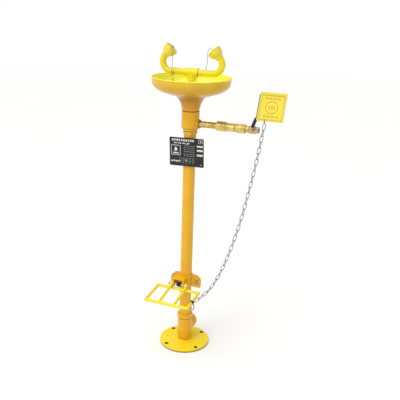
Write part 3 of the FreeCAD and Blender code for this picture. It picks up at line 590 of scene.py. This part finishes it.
def spindle(body_node, direction):
    """Where a round node stands on its slanted axis: the matrix of its foot, its length and its largest radius."""
    axis = Vector(direction).normalized()
    across = axis.cross(Vector((0, 1, 0))).normalized()
    points = [v.co for v in frame["nodes"][body_node].data.vertices]
    along = [p.dot(axis) for p in points]
    beside = [p.dot(across) for p in points]
    depth = [p.y for p in points]
    foot = (axis * min(along) + across * (min(beside) + max(beside)) / 2
            + Vector((0, (min(depth) + max(depth)) / 2, 0)))
    turn = axis.to_track_quat("Z", "Y").to_matrix().to_4x4()
    return move(foot) @ turn, max(along) - min(along), (max(beside) - min(beside)) / 2


def shown(name, mesh, finish, body, slot, *replaced):
    """Puts a finished mesh in the scene, on its body."""
    piece = linked(name, mesh)
    if finish:
        coloured(mesh, finish)
    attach(piece, body)
    if replaced:
        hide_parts(*replaced)
    return piece


def joined(name, meshes):
    """Several meshes as one, each keeping its own material."""
    form = bmesh.new()
    finish_list = []
    for mesh in meshes:
        before = len(form.faces)
        form.from_mesh(mesh)
        form.faces.ensure_lookup_table()
        for face in form.faces[before:]:
            face.material_index = len(finish_list)
        finish_list.append(mesh.materials[0] if mesh.materials else None)
    made = bpy.data.meshes.new(name)
    form.to_mesh(made)
    form.free()
    for finish in finish_list:
        made.materials.append(finish)
    made.shade_smooth()
    made.set_sharp_from_angle(angle=radians(38))
    return made


def coloured(mesh, finish):
    mesh.materials.clear()
    mesh.materials.append(paints()[finish])
    return mesh


def block(name, size, place, bevel=0.0004):
    """A box with softened edges, standing on its place's XY plane."""
    form = bmesh.new()
    bmesh.ops.create_cube(form, size=1.0)
    lift = move((0, 0, size[2] / 2)) @ Matrix.Diagonal((*size, 1))
    bmesh.ops.transform(form, matrix=lift, verts=form.verts)
    bmesh.ops.bevel(form, geom=form.edges, offset=min(bevel, 0.3 * min(size)), segments=2, affect="EDGES")
    bmesh.ops.transform(form, matrix=place, verts=form.verts)
    return finished_mesh(name, form, radians(60))


# Routes and repeats


def curve_object(name, kind, points):
    data = bpy.data.curves.new(name, "CURVE")
    data.dimensions = "3D"
    spline = data.splines.new(kind)
    spline.points.add(len(points) - 1)
    for spot, point in zip(spline.points, points):
        spot.co = (*point, 1)
    return linked(name, data), spline


def route_curve(name, points, cyclic=False):
    """A NURBS curve through the neighbourhood of its points, with no thickness."""
    curve, spline = curve_object(name, "NURBS", points)
    curve.data.resolution_u = 16
    spline.order_u = 3
    spline.use_endpoint_u = not cyclic
    spline.use_cyclic_u = cyclic
    return curve


def plain_mesh(thing):
    """What an object is once its modifiers are worked out."""
    bpy.context.view_layer.update()
    seen = thing.evaluated_get(bpy.context.evaluated_depsgraph_get())
    return bpy.data.meshes.new_from_object(seen)


def route_points(curve):
    return [v.co.copy() for v in plain_mesh(curve).vertices]


def route_line(name, points):
    """The points of a route's curve, without keeping the curve."""
    curve = route_curve(name, points)
    line = route_points(curve)
    bpy.data.objects.remove(curve)
    return line


def repeat_tree():
    """Geometry nodes that set a piece at even steps along a curve, each turned on from the last."""
    tree = bpy.data.node_groups.new("repeat_along_curve", "GeometryNodeTree")
    for title, kind, default in (("Curve", "Geometry", None), ("Piece", "Object", None), ("Count", "Int", 10),
                                 ("Start", "Float", 0.0), ("End", "Float", 1.0), ("Turn", "Float", 0.0),
                                 ("Up", "Vector", (0, 0, 1)), ("Finish", "Material", None)):
        socket(tree.interface, title, kind, default)
    socket(tree.interface, "Mesh", "Geometry", output=True)
    given = tree.nodes.new("NodeGroupInput").outputs
    trim = node(tree, "GeometryNodeTrimCurve", Curve=given["Curve"], Start=given["Start"], End=given["End"])
    steps = node(tree, "GeometryNodeResampleCurve", Curve=trim.outputs["Curve"], Count=given["Count"])
    tangent = tree.nodes.new("GeometryNodeInputTangent").outputs["Tangent"]
    along = node(tree, "FunctionNodeAlignRotationToVector", Vector=tangent)
    along.axis = "X"
    upright = node(tree, "FunctionNodeAlignRotationToVector", Rotation=along.outputs["Rotation"],
                   Vector=given["Up"])
    upright.axis = "Z"
    upright.pivot_axis = "X"
    number = tree.nodes.new("GeometryNodeInputIndex").outputs["Index"]
    spin = node(tree, "FunctionNodeAxisAngleToRotation", Axis=(1, 0, 0),
                Angle=worked(tree, "MULTIPLY", number, given["Turn"]))
    turned_on = node(tree, "FunctionNodeRotateRotation", Rotation=upright.outputs["Rotation"],
                     Rotate_By=spin.outputs["Rotation"])
    turned_on.rotation_space = "LOCAL"
    source = node(tree, "GeometryNodeObjectInfo", Object=given["Piece"])
    place = node(tree, "GeometryNodeInstanceOnPoints", Points=steps.outputs["Curve"],
                 Instance=source.outputs["Geometry"], Rotation=turned_on.outputs["Rotation"])
    real = node(tree, "GeometryNodeRealizeInstances", Geometry=place.outputs["Instances"])
    paint = node(tree, "GeometryNodeSetMaterial", Geometry=real.outputs["Geometry"], Material=given["Finish"])
    fill(tree, tree.nodes.new("NodeGroupOutput").inputs["Mesh"], paint.outputs["Geometry"])
    return tree


def repeated(name, curve, piece_mesh, count, turn, up, finish, span=(0.0, 1.0)):
    """A plain mesh of a small mesh repeated along a share of a curve by geometry nodes."""
    tree = bpy.data.node_groups.get("repeat_along_curve") or repeat_tree()
    source = linked(name + "_source", piece_mesh)
    repeat = curve.modifiers.new("repeat", "NODES")
    repeat.node_group = tree
    values = {"Piece": source, "Count": count, "Turn": turn, "Up": up, "Finish": paints()[finish],
              "Start": span[0], "End": span[1]}
    for item in tree.interface.items_tree:
        if item.in_out == "INPUT" and item.name in values:
            repeat[item.identifier] = values[item.name]
    mesh = plain_mesh(curve)
    mesh.name = name
    curve.modifiers.remove(repeat)
    bpy.data.objects.remove(curve)
    bpy.data.objects.remove(source)
    return mesh


def ring_curve(name, place, radius, points=48):
    """A closed round curve in its place's XY plane."""
    step = 2 * pi / points
    reach = radius / cos(step / 2) ** 2
    spots = [place @ Vector((reach * cos(k * step), reach * sin(k * step), 0)) for k in range(points)]
    return route_curve(name, spots, cyclic=True)


def tube(name, points, radius, sides=12):
    """A tube round a line of points, its ends closed."""
    curve, _ = curve_object(name, "POLY", points)
    curve.data.bevel_depth = radius
    curve.data.bevel_resolution = sides // 4
    curve.data.use_fill_caps = True
    mesh = plain_mesh(curve)
    bpy.data.objects.remove(curve)
    mesh.shade_smooth()
    return mesh


def chain_link(name, pitch, width, wire):
    """One oval link lying along X, its wire round."""
    side = width / 2 - wire / 2
    straight = pitch / 2 + wire / 2 - side
    points = []
    for end, start in ((1, -90), (-1, 90)):
        for k in range(9):
            angle = radians(start + 180 * k / 8)
            points.append((end * straight + side * cos(angle), side * sin(angle), 0.0))
    form = bmesh.new()
    loops = []
    count = len(points)
    for k, point in enumerate(points):
        on = (Vector(points[(k + 1) % count]) - Vector(points[k - 1])).normalized()
        outward = on.cross(Vector((0, 0, 1)))
        loops.append([form.verts.new(Vector(point) + outward * (wire / 2) * cos(a)
                                     + Vector((0, 0, 1)) * (wire / 2) * sin(a))
                      for a in (2 * pi * j / 8 for j in range(8))])
    for here, there in zip(loops, loops[1:] + loops[:1]):
        for k in range(8):
            form.faces.new((here[k], here[(k + 1) % 8], there[(k + 1) % 8], there[k]))
    return finished_mesh(name, form)


def weld_drop(name, size):
    """One flattened drop of weld metal or moulding, long across X."""
    form = bmesh.new()
    bmesh.ops.create_uvsphere(form, u_segments=8, v_segments=6, radius=1.0)
    bmesh.ops.transform(form, matrix=Matrix.Diagonal((*size, 1)), verts=form.verts)
    return finished_mesh(name, form)


# Operators, one for each piece or group


class PieceOperator(bpy.types.Operator):
    """Base of the operators that make pieces"""

    bl_options = {"REGISTER"}


class EYEWASH_OT_finishes(PieceOperator):
    """Give every carried-over node its finish"""

    bl_idname = "eyewash.finishes"
    bl_label = "Finish the nodes"

    def execute(self, context):
        for name, thing in frame["nodes"].items():
            match = max((key for key in NODE_FINISHES if name.startswith(key)), key=len, default=None)
            finish = paints()[NODE_FINISHES[match] if match else "zinc"]
            for slot in thing.material_slots:
                slot.material = finish
        return {"FINISHED"}


class EYEWASH_OT_chain(PieceOperator):
    """Hang the pull chain's links along its route"""

    bl_idname = "eyewash.chain"
    bl_label = "Pull chain"

    def execute(self, context):
        wanted = context.scene.eyewash_chain
        curve = route_curve("chain_route", CHAIN_ROUTE)
        line = route_points(curve)
        reach = sum((b - a).length for a, b in zip(line, line[1:]))
        inset = LINK_INSET / reach
        count = round(reach * (1 - 2 * inset) / wanted.pitch) + 1
        link = chain_link("chain_link", reach * (1 - 2 * inset) / (count - 1), wanted.width, wanted.wire)
        links = repeated("chain_links", curve, link, count, radians(90), (0.6, -0.8, 0), "chain",
                         (inset, 1 - inset))
        links.shade_smooth()
        piece = shown("pull_chain_links", links, None, "pull_chain", "chain_fill", "pull_chain")
        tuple(CHAIN_ROUTE[0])
        return {"FINISHED"}


class EYEWASH_OT_chain_tail(PieceOperator):
    """Tie the chain to the treadle and leave its last links hanging"""

    bl_idname = "eyewash.chain_tail"
    bl_label = "Chain tail"

    def execute(self, context):
        wanted = context.scene.eyewash_chain
        centre = middle("chain_shackle")
        rod = (high("chain_shackle").x - low("chain_shackle").x) / 2 - wanted.wire
        turns = []
        for k in range(WRAP_STEPS + 1):
            angle = 2 * pi * WRAP_TURNS * k / WRAP_STEPS
            reach = rod + 0.2 * wanted.wire
            turns.append(centre + Vector((reach * cos(angle), (k / WRAP_STEPS - 0.5) * 3.2 * wanted.wire,
                                          reach * sin(angle))))
        wrap = coloured(tube("shackle_wrap", turns, wanted.wire / 2), "grip")
        shown("shackle_wrap", wrap, "grip", "treadle", "zinc_steel", "chain_shackle")
        start = centre + Vector((0.0035, -0.0010, -rod))
        link = chain_link("tail_link", wanted.pitch, wanted.width, wanted.wire)
        curve = route_curve("tail_route", [start + Vector((0, 0, -wanted.pitch * 0.52)),
                                           start + Vector((0.001, -0.001, -wanted.pitch * 0.62))])
        tail = repeated("chain_tail", curve, link, 1, 0.0, (0.35, -0.94, 0), "iron")
        tail.shade_smooth()
        shown("chain_tail", tail, None, "treadle", "zinc_steel")
        return {"FINISHED"}


class EYEWASH_OT_tethers(PieceOperator):
    """Run the dust caps' tethers down to their eyes"""

    bl_idname = "eyewash.tethers"
    bl_label = "Tethers"

    def execute(self, context):
        wanted = context.scene.eyewash_tether
        for name, route in TETHER_ROUTES.items():
            line = route_line("tether_route_" + name, route)
            mesh = coloured(tube("tether_line_" + name, line, wanted.thickness / 2), "cable")
            piece = linked("tether_line_" + name, mesh)
            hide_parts("tether_" + name)
            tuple(route[2])
            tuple(route[-1])
            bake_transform(piece)
            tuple(route[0])
            getattr(wanted, name)
        return {"FINISHED"}


class EYEWASH_OT_bowl(PieceOperator):
    """Spin the bowl and its tailpiece"""

    bl_idname = "eyewash.bowl"
    bl_label = "Bowl"

    def execute(self, context):
        foot, rim = low("bowl").z, high("bowl").z
        reach = (high("bowl").x - low("bowl").x) / 2 - 0.0006
        hole, wall = BOWL_HOLE_R, BOWL_WALL
        outer = [(hole, foot), (0.0415, foot + 0.0002), (0.0485, foot + 0.0070), (0.061, foot + 0.0115),
                 (0.0760, foot + 0.0158), (0.0930, foot + 0.0210), (reach - 0.0235, foot + 0.0275),
                 (reach - 0.0135, foot + 0.0345), (reach - 0.0070, foot + 0.0415), (reach - 0.0025, foot + 0.0500),
                 (reach - 0.0014, rim - 0.006)]
        bead = [(reach, rim - 0.0035), (reach, rim - 0.001), (reach - 0.0016, rim),
                (reach - wall - 0.0012, rim - 0.0006)]
        inner = [(r - wall * 0.7, h + wall * 0.95) for r, h in reversed(outer[2:])]
        inner += [(0.0400, foot + wall), (hole, foot + wall)]
        mesh = turned("bowl_dish", softened(outer + bead + inner, 0.010, 5), steps=160)
        dish = shown("bowl_dish", mesh, "shaded", "pedestal", "lemon_enamel", "bowl")
        # Painted light: faces turned upward or into the bowl take the brighter inner paint, the rest keep the darker
        # outer paint.
        dish.data.materials.append(paints()["bowl"])
        for face in dish.data.polygons:
            spot, out = face.center, face.normal
            if out.z > 0.15 or out.x * spot.x + out.y * spot.y < 0:
                face.material_index = 1
        base, top = low("bowl_tailpiece").z, high("bowl_tailpiece").z
        neck = 0.0298
        outline = [(0.025, base), (neck - 0.0004, base), (neck, base + 0.004), (neck + 0.0018, base + 0.013),
                   (neck + 0.0032, base + 0.020), (neck + 0.0068, base + 0.028), (neck + 0.0108, top - 0.0045),
                   (0.0455, top + 0.0028), (0.0545, top + 0.0100), (0.0530, top + 0.0105), (0.0470, top + 0.0078),
                   (0.0400, top + 0.0014), (hole, top + 0.0004), (0.025, top - 0.012)]
        mesh = turned("bowl_neck", softened(outline, 0.006, 4), steps=128)
        shown("bowl_neck", mesh, "neck", "pedestal", "yellow_enamel", "bowl_tailpiece")
        return {"FINISHED"}


class EYEWASH_OT_heads(PieceOperator):
    """Turn the spray heads and their ribbed dust caps"""

    bl_idname = "eyewash.heads"
    bl_label = "Spray heads and caps"

    def execute(self, context):
        for side in ("left", "right"):
            self.head(side)
            self.cap(side, context.scene.eyewash_head)
        return {"FINISHED"}

    def head(self, side):
        place, length, reach = spindle("head_body_" + side, joint("cap_lift_" + side)["axis"])
        inner = reach - 0.0036
        outline = [(0.008, 0), (0.0136, 0), (0.0136, 0.004), (0.0118, 0.0052), (0.0128, 0.0062), (0.0147, 0.0075),
                   (0.0190, 0.0115), (0.0212, 0.0160), (0.0224, 0.0210), (0.0225, 0.0258), (reach, 0.0270),
                   (reach, length), (inner + 0.0012, length), (inner, 0.0240), (0.0172, 0.0172), (0.0110, 0.0090),
                   (0.008, 0.0070)]
        body = turned("head_shell_" + side, softened(outline, 0.0012, 3), place, 96)
        shown("head_shell_" + side, body, "plastic", "pedestal", "yellow_plastic", "head_body_" + side)

    def cap(self, side, wanted):
        axis = joint("cap_lift_" + side)["axis"]
        place, length, reach = spindle("dust_cap_" + side, axis)
        skirt = length - 0.0128
        top = skirt + 0.0055
        plug = reach - 0.0052
        outline = [(0, skirt + 0.0010), (plug - 0.0012, skirt + 0.0010), (plug - 0.0006, 0), (plug, 0), (plug, skirt),
                   (reach - 0.0003, skirt), (reach - 0.0003, skirt + 0.0022), (reach - 0.0030, skirt + 0.0042),
                   (reach - 0.0046, skirt + 0.0042)]
        for k in range(wanted.rings):
            outer = reach - 0.0056 - k * 0.0046
            outline += [(outer, skirt + 0.0034), (outer - 0.0012, top), (outer - 0.0026, top),
                        (outer - 0.0034, skirt + 0.0036)]
        outline += [(0.0044, skirt + 0.0036), (0.0040, top), (0, top)]
        disc = coloured(turned("cap_disc", softened(outline, 0.0005, 2), place, 96), "plastic")
        stud = [(0, top - 0.0004), (0.0030, top - 0.0004), (0.0023, top + 0.0020), (0.0028, top + 0.0034),
                (0.0014, top + 0.0044), (0, top + 0.0044)]
        stud = coloured(turned("cap_stud", softened(stud, 0.0004, 2), place, 24), "stud")
        rim = place @ move((0, 0, skirt + 0.0013))
        rib = weld_drop("cap_rib", (0.0007, 0.0011, 0.0012))
        curve = ring_curve("rib_ring", rim, reach - 0.0004)
        ribs = repeated("cap_ribs_" + side, curve, rib, wanted.ribs, 0.0, tuple(axis), "plastic",
                        (0.0, 1 - 1 / wanted.ribs))
        whole = joined("cap_cover_" + side, [disc, stud, ribs])
        shown("cap_cover_" + side, whole, None, "dust_cap_" + side, "yellow_plastic", "dust_cap_" + side)


class EYEWASH_OT_grip(PieceOperator):
    """Slip the ribbed grip over the valve lever"""

    bl_idname = "eyewash.grip"
    bl_label = "Lever grip"

    def execute(self, context):
        stem = Vector(joint("valve_turn")["pos_m"])
        plane = middle("lever_nut").y + (high("lever_nut").y - low("lever_nut").y) / 2 + 0.002
        foot = Vector((stem.x, plane, stem.z))
        knee = foot + Vector((0.0155, 0, 0.042))
        along = (knee - foot).normalized()
        flat = Matrix((Vector((0, 1, 0)), along.cross(Vector((0, 1, 0))), along)).transposed().to_4x4()
        start = foot + along * 0.013
        reach = (knee - start).length + 0.002
        outline = [(0, 0), (0.0050, 0.0003), (0.0054, 0.0012), (0.0050, reach), (0, reach + 0.0006)]
        parts = [turned("grip_sleeve", softened(outline, 0.0008, 3), Matrix(), 32)]
        for k in range(GRIP_RIBS):
            height = 0.003 + (reach - 0.005) * k / (GRIP_RIBS - 1)
            outline = [(0.0044, height - 0.0009), (0.0058, height - 0.0006), (0.0058, height + 0.0006),
                       (0.0044, height + 0.0009)]
            parts.append(turned("grip_rib", softened(outline, 0.0005, 2), Matrix(), 32))
        for part in parts:
            part.transform(move(start) @ flat @ Matrix.Diagonal((0.72, 1.0, 1.0, 1)))
        whole = joined("lever_grip", [coloured(part, "grip") for part in parts])
        shown("lever_grip", whole, "grip", "valve_lever", "dark_steel")
        return {"FINISHED"}


class EYEWASH_OT_sign(PieceOperator):
    """Lay the sign's plain marks on its face"""

    bl_idname = "eyewash.sign"
    bl_label = "Sign marks"

    def execute(self, context):
        centre = middle("sign_plate")
        face = Vector((centre.x, low("sign_plate").y, centre.z))
        place = (move(face) @ Matrix.Rotation(radians(SIGN_ROLL), 4, "Y")
                 @ Matrix.Rotation(radians(90), 4, "X"))

        def bar(u, v, width, height):
            return block("sign_bar", (width, height, MARK_T), place @ move((u, v, 0)), 0.00006)

        pale = [bar(0.0485, 0.0225, 0.0215, 0.0062), bar(0.0485, 0.0085, 0.0215, 0.0064),
                bar(0.0485, -0.0075, 0.0215, 0.0066)]
        pale += [bar(-0.0500 + k * 0.0082, 0.0405, 0.0060 - 0.0014 * (k % 3 == 1), 0.0072) for k in range(10)]
        pale += [bar(-0.0400 + k * 0.0150, 0.0300, 0.0115, 0.0036) for k in range(4)]
        pale += [bar(-0.0390, 0.0220, 0.0335, 0.0018), bar(-0.0390, -0.0110, 0.0335, 0.0018),
                 bar(-0.0553, 0.0055, 0.0018, 0.0340), bar(-0.0227, 0.0055, 0.0018, 0.0340)]
        pale += [bar(-0.0530 + k * 0.0085, -0.0330 + 0.0012 * (k % 2), 0.0070, 0.0048) for k in range(4)]
        pale += [bar(0.0440, 0.0400, 0.0012, 0.0130), bar(0.0590, 0.0400, 0.0012, 0.0130),
                 bar(0.0515, 0.0460, 0.0150, 0.0012), bar(0.0515, 0.0340, 0.0150, 0.0012)]
        faint = [bar(-0.006 + k * 0.0105, v, w, 0.0017) for v, w in
                 ((0.0215, 0.0080), (0.0150, 0.0090), (0.0080, 0.0070), (0.0020, 0.0088), (-0.0065, 0.0080),
                  (-0.0125, 0.0070)) for k in range(4)]
        faint += [bar(-0.022 + k * 0.0115, v, w, 0.0015) for v, w in
                  ((-0.0210, 0.0085), (-0.0260, 0.0070), (-0.0310, 0.0090), (-0.0365, 0.0060)) for k in range(5)]
        figure = self.drop(place @ move((-0.0390, 0.0100, 0)), 0.0078)
        basin = bar(-0.0390, -0.0045, 0.0200, 0.0045)
        dot = self.drop(place @ move((0.0515, 0.0400, 0)), 0.0032)
        corner = turned("sign_dot", [(0, 0), (0.0016, 0), (0.0016, MARK_T), (0, MARK_T)],
                        place @ move((0.0525, -0.0405, 0)), 20)
        pale = [coloured(m, "mark") for m in pale + [figure, basin, dot, corner]]
        faint = [coloured(m, "faint") for m in faint]
        shown("sign_marks", joined("sign_marks", pale), "mark", "pedestal", "black_sign")
        shown("sign_lines", joined("sign_lines", faint), "faint", "pedestal", "black_sign")
        return {"FINISHED"}

    def drop(self, place, size):
        """A water drop as a thin raised shape."""
        form = bmesh.new()
        points = []
        for k in range(DROP_STEPS):
            t = 2 * pi * k / DROP_STEPS
            points.append(Vector((size * sin(t) * sin(t / 2) ** 1.2, size * cos(t), 0)))
        bottom = [form.verts.new(p) for p in points]
        top = [form.verts.new(p + Vector((0, 0, MARK_T))) for p in points]
        form.faces.new(top)
        form.faces.new(list(reversed(bottom)))
        for k in range(DROP_STEPS):
            on = (k + 1) % DROP_STEPS
            form.faces.new((bottom[k], bottom[on], top[on], top[k]))
        bmesh.ops.transform(form, matrix=place, verts=form.verts)
        return finished_mesh("sign_drop", form)


class EYEWASH_OT_plate(PieceOperator):
    """Press the border and the plain marks into the push plate's face"""

    bl_idname = "eyewash.plate"
    bl_label = "Plate relief"

    def execute(self, context):
        lean = radians(PLATE_LEAN)
        up = Vector((0, sin(lean), cos(lean)))
        out = Vector((0, -cos(lean), sin(lean)))
        points = [v.co for v in frame["nodes"]["push_plate"].data.vertices]
        wide, tall = PLATE_W, PLATE_H
        left = max(p.x for p in points) - wide
        front = max(p.dot(out) for p in points)
        foot = min((p for p in points if p.dot(out) > front - 0.0009), key=lambda p: p.dot(up))
        face = front - 0.0006
        corner = Vector((left, 0, 0)) + up * foot.dot(up) + out * face
        turn = Matrix((Vector((1, 0, 0)), up, out)).transposed().to_4x4()
        place = move(corner) @ turn

        def rib(u, v, width, height):
            return block("plate_rib", (width, height, 0.0011), place @ move((u, v, 0)), 0.0004)

        top = tall - 0.0100
        ribs = [rib(wide / 2, top, wide - 0.0080, 0.0016), rib(wide / 2, 0.0050, wide - 0.0080, 0.0016),
                rib(0.0048, (top + 0.0050) / 2, 0.0016, top - 0.0034),
                rib(wide - 0.0052, (top + 0.0050) / 2, 0.0016, top - 0.0034)]
        ring = [(0.0205, 0), (0.0205, 0.0009), (0.0188, 0.0009), (0.0188, 0)]
        middle_spot = place @ move((wide / 2, 0.0455, 0))
        ribs.append(turned("plate_ring_mark", softened(ring, 0.0003, 2), middle_spot, 64))
        for k in range(3):
            step = 0.0085 * (k - 1)
            ribs += [rib(wide / 2 + step, 0.0455, 0.0035, 0.0110 - 0.0030 * abs(k - 1))]
        ribs += [rib(wide / 2 + 0.0130 * (k - 1.5), 0.0745, 0.0085, 0.0034) for k in range(4)]
        ribs += [rib(wide / 2 + 0.0130 * (k - 1.5), 0.0160, 0.0085, 0.0034) for k in range(4)]
        mesh = joined("plate_relief", [coloured(m, "relief") for m in ribs])
        shown("plate_relief", mesh, "relief", "valve_lever", "lemon_enamel")
        return {"FINISHED"}


class EYEWASH_OT_tether_ends(PieceOperator):
    """Clip the tethers' spare ends to the manifold"""

    bl_idname = "eyewash.tether_ends"
    bl_label = "Tether ends"

    def execute(self, context):
        level = high("manifold_tee").z - 0.0145
        reach = PIPE_R + 0.0008
        for name, across, drop in (("left", low("tether_eye_left").x + 0.0034 + 0.004, 0.0200),
                                   ("middle", high("manifold_tee").x + 0.0009, 0.0235)):
            turns = [Vector((across, reach * cos(a), level + reach * sin(a)))
                     for a in (2 * pi * k / 32 for k in range(33))]
            clip = coloured(tube("clip_ring_" + name, turns, 0.0007), "lemon")
            front = Vector((across, -reach - 0.0006, level))
            hang = [front, front + Vector((0.0002, -0.0022, -0.008)), front + Vector((0, -0.0024, -0.016)),
                    front + Vector((-0.0004, -0.0022, -drop - 0.008))]
            line = route_line("clip_route_" + name, hang)
            wire = coloured(tube("clip_wire_" + name, line, 0.0006), "iron")
            crimp = [line[-1] + Vector((0, 0, 0.003)), line[-1] - Vector((0, 0, 0.003))]
            sleeve = coloured(tube("clip_crimp_" + name, crimp, 0.0013), "iron")
            shown("tether_clip_" + name, joined("tether_clip_" + name, [clip, wire, sleeve]), None, "pedestal",
                  "zinc_steel")
        return {"FINISHED"}


class EYEWASH_OT_welds(PieceOperator):
    """Run weld beads round the foot of the column and the treadle's joints"""

    bl_idname = "eyewash.welds"
    bl_label = "Welds"

    def execute(self, context):
        tee = low("lower_tee").z
        bead = weld_drop("weld_bead", (0.0020, 0.0012, 0.0014))
        curve = ring_curve("hub_ring", move((0, 0, tee + 0.0002)), 0.0247)
        weld = repeated("hub_weld", curve, bead, HUB_BEADS, 0.0, (0, 0, 1), "amber", (0.0, 1 - 1 / HUB_BEADS))
        shown("hub_weld", weld, None, "pedestal", "yellow_enamel")
        bar = middle("treadle_front_bar")
        radius = (high("treadle_front_bar").z - low("treadle_front_bar").z) / 2
        for side in ("left", "right"):
            arm = middle("treadle_arm_" + side).x
            spot = Vector((arm, bar.y + radius + 0.0002, bar.z + 0.0003))
            place = move(spot) @ Matrix.Rotation(radians(90), 4, "X")
            small = weld_drop("rod_bead", (0.0012, 0.0011, 0.0011))
            curve = ring_curve("arm_ring", place, radius)
            weld = repeated("arm_weld_" + side, curve, small, ROD_BEADS, 0.0, (0, 1, 0), "lemon",
                            (0.0, 1 - 1 / ROD_BEADS))
            shown("arm_weld_" + side, weld, None, "treadle", "yellow_enamel")
        return {"FINISHED"}


class EYEWASH_OT_stage(PieceOperator):
    """Set the pale floor, the soft lights and the camera"""

    bl_idname = "eyewash.stage"
    bl_label = "Stage"

    def execute(self, context):
        wanted = context.scene.eyewash_stage
        scene = context.scene
        form = bmesh.new()
        bmesh.ops.create_circle(form, cap_ends=True, segments=96, radius=FLOOR_R)
        linked("floor", coloured(finished_mesh("floor", form), "floor"))
        scene.world = self.studio(wanted.sky)
        scene.view_settings.view_transform = "Standard"
        self.light("overhead", "SUN", (0, 0, 0), SUN_AIM, wanted.sun, angle=radians(SUN_SPREAD))
        self.light("key", "AREA", KEY_PLACE, Vector(KEY_AIM) - Vector(KEY_PLACE), wanted.key, size=KEY_SIZE)
        camera = linked("camera", bpy.data.cameras.new("camera"))
        camera.data.lens = wanted.lens
        camera.data.sensor_width = 36.0
        spot = Matrix.Rotation(wanted.azimuth, 4, "Z") @ Vector((0, -wanted.distance, wanted.height))
        camera.matrix_world = (move(spot) @ Matrix.Rotation(wanted.azimuth - wanted.yaw, 4, "Z")
                               @ Matrix.Rotation(radians(90) - wanted.pitch, 4, "X")
                               @ Matrix.Rotation(wanted.roll, 4, "Z"))
        scene.camera = camera
        return {"FINISHED"}

    def studio(self, strength):
        """White surroundings, seen at full white and lighting at their own strength."""
        world = bpy.data.worlds.new("studio")
        world.use_nodes = True
        tree = world.node_tree
        seen = tree.nodes["Background"]
        seen.inputs["Color"].default_value = (1, 1, 1, 1)
        lighting = node(tree, "ShaderNodeBackground", Color=(1, 1, 1, 1), Strength=strength)
        ray = tree.nodes.new("ShaderNodeLightPath")
        mix = tree.nodes.new("ShaderNodeMixShader")
        tree.links.new(ray.outputs["Is Camera Ray"], mix.inputs[0])
        tree.links.new(lighting.outputs[0], mix.inputs[1])
        tree.links.new(seen.outputs[0], mix.inputs[2])
        tree.links.new(mix.outputs[0], tree.nodes["World Output"].inputs["Surface"])
        return world

    def light(self, name, kind, spot, aim, energy, **settings):
        data = bpy.data.lights.new(name, kind)
        data.energy = energy
        for key, value in settings.items():
            setattr(data, key, value)
        turn = Vector(aim).to_track_quat("-Z", "Y").to_matrix().to_4x4()
        linked(name, data).matrix_world = move(spot) @ turn


STEPS = (EYEWASH_OT_stage, EYEWASH_OT_finishes, EYEWASH_OT_chain, EYEWASH_OT_tethers, EYEWASH_OT_chain_tail,
         EYEWASH_OT_bowl, EYEWASH_OT_heads, EYEWASH_OT_grip, EYEWASH_OT_plate, EYEWASH_OT_tether_ends,
         EYEWASH_OT_sign, EYEWASH_OT_welds)


class EYEWASH_PT_panel(bpy.types.Panel):
    """Lists the steps that build the eyewash station"""

    bl_idname = "EYEWASH_PT_panel"
    bl_label = "Eyewash station"
    bl_space_type = "VIEW_3D"
    bl_region_type = "UI"
    bl_category = "Eyewash"

    def draw(self, context):
        for name in ("eyewash_paint", "eyewash_chain", "eyewash_tether", "eyewash_head", "eyewash_stage"):
            settings = getattr(context.scene, name)
            for key in settings.__annotations__:
                self.layout.prop(settings, key)
        for step in STEPS:
            self.layout.operator(step.bl_idname)


SETTINGS = {"eyewash_paint": PaintSettings, "eyewash_chain": ChainSettings, "eyewash_tether": TetherSettings,
            "eyewash_head": HeadSettings, "eyewash_stage": StageSettings}


def register():
    for name, group in SETTINGS.items():
        bpy.utils.register_class(group)
        setattr(bpy.types.Scene, name, PointerProperty(type=group))
    for step in STEPS + (EYEWASH_PT_panel,):
        bpy.utils.register_class(step)


def unregister():
    for step in reversed(STEPS + (EYEWASH_PT_panel,)):
        bpy.utils.unregister_class(step)
    for name, group in reversed(SETTINGS.items()):
        delattr(bpy.types.Scene, name)
        bpy.utils.unregister_class(group)


def main():
    register()
    for step in STEPS:
        group, name = step.bl_idname.split(".")
        getattr(getattr(bpy.ops, group), name)()


if __name__ == "__main__":
    main()
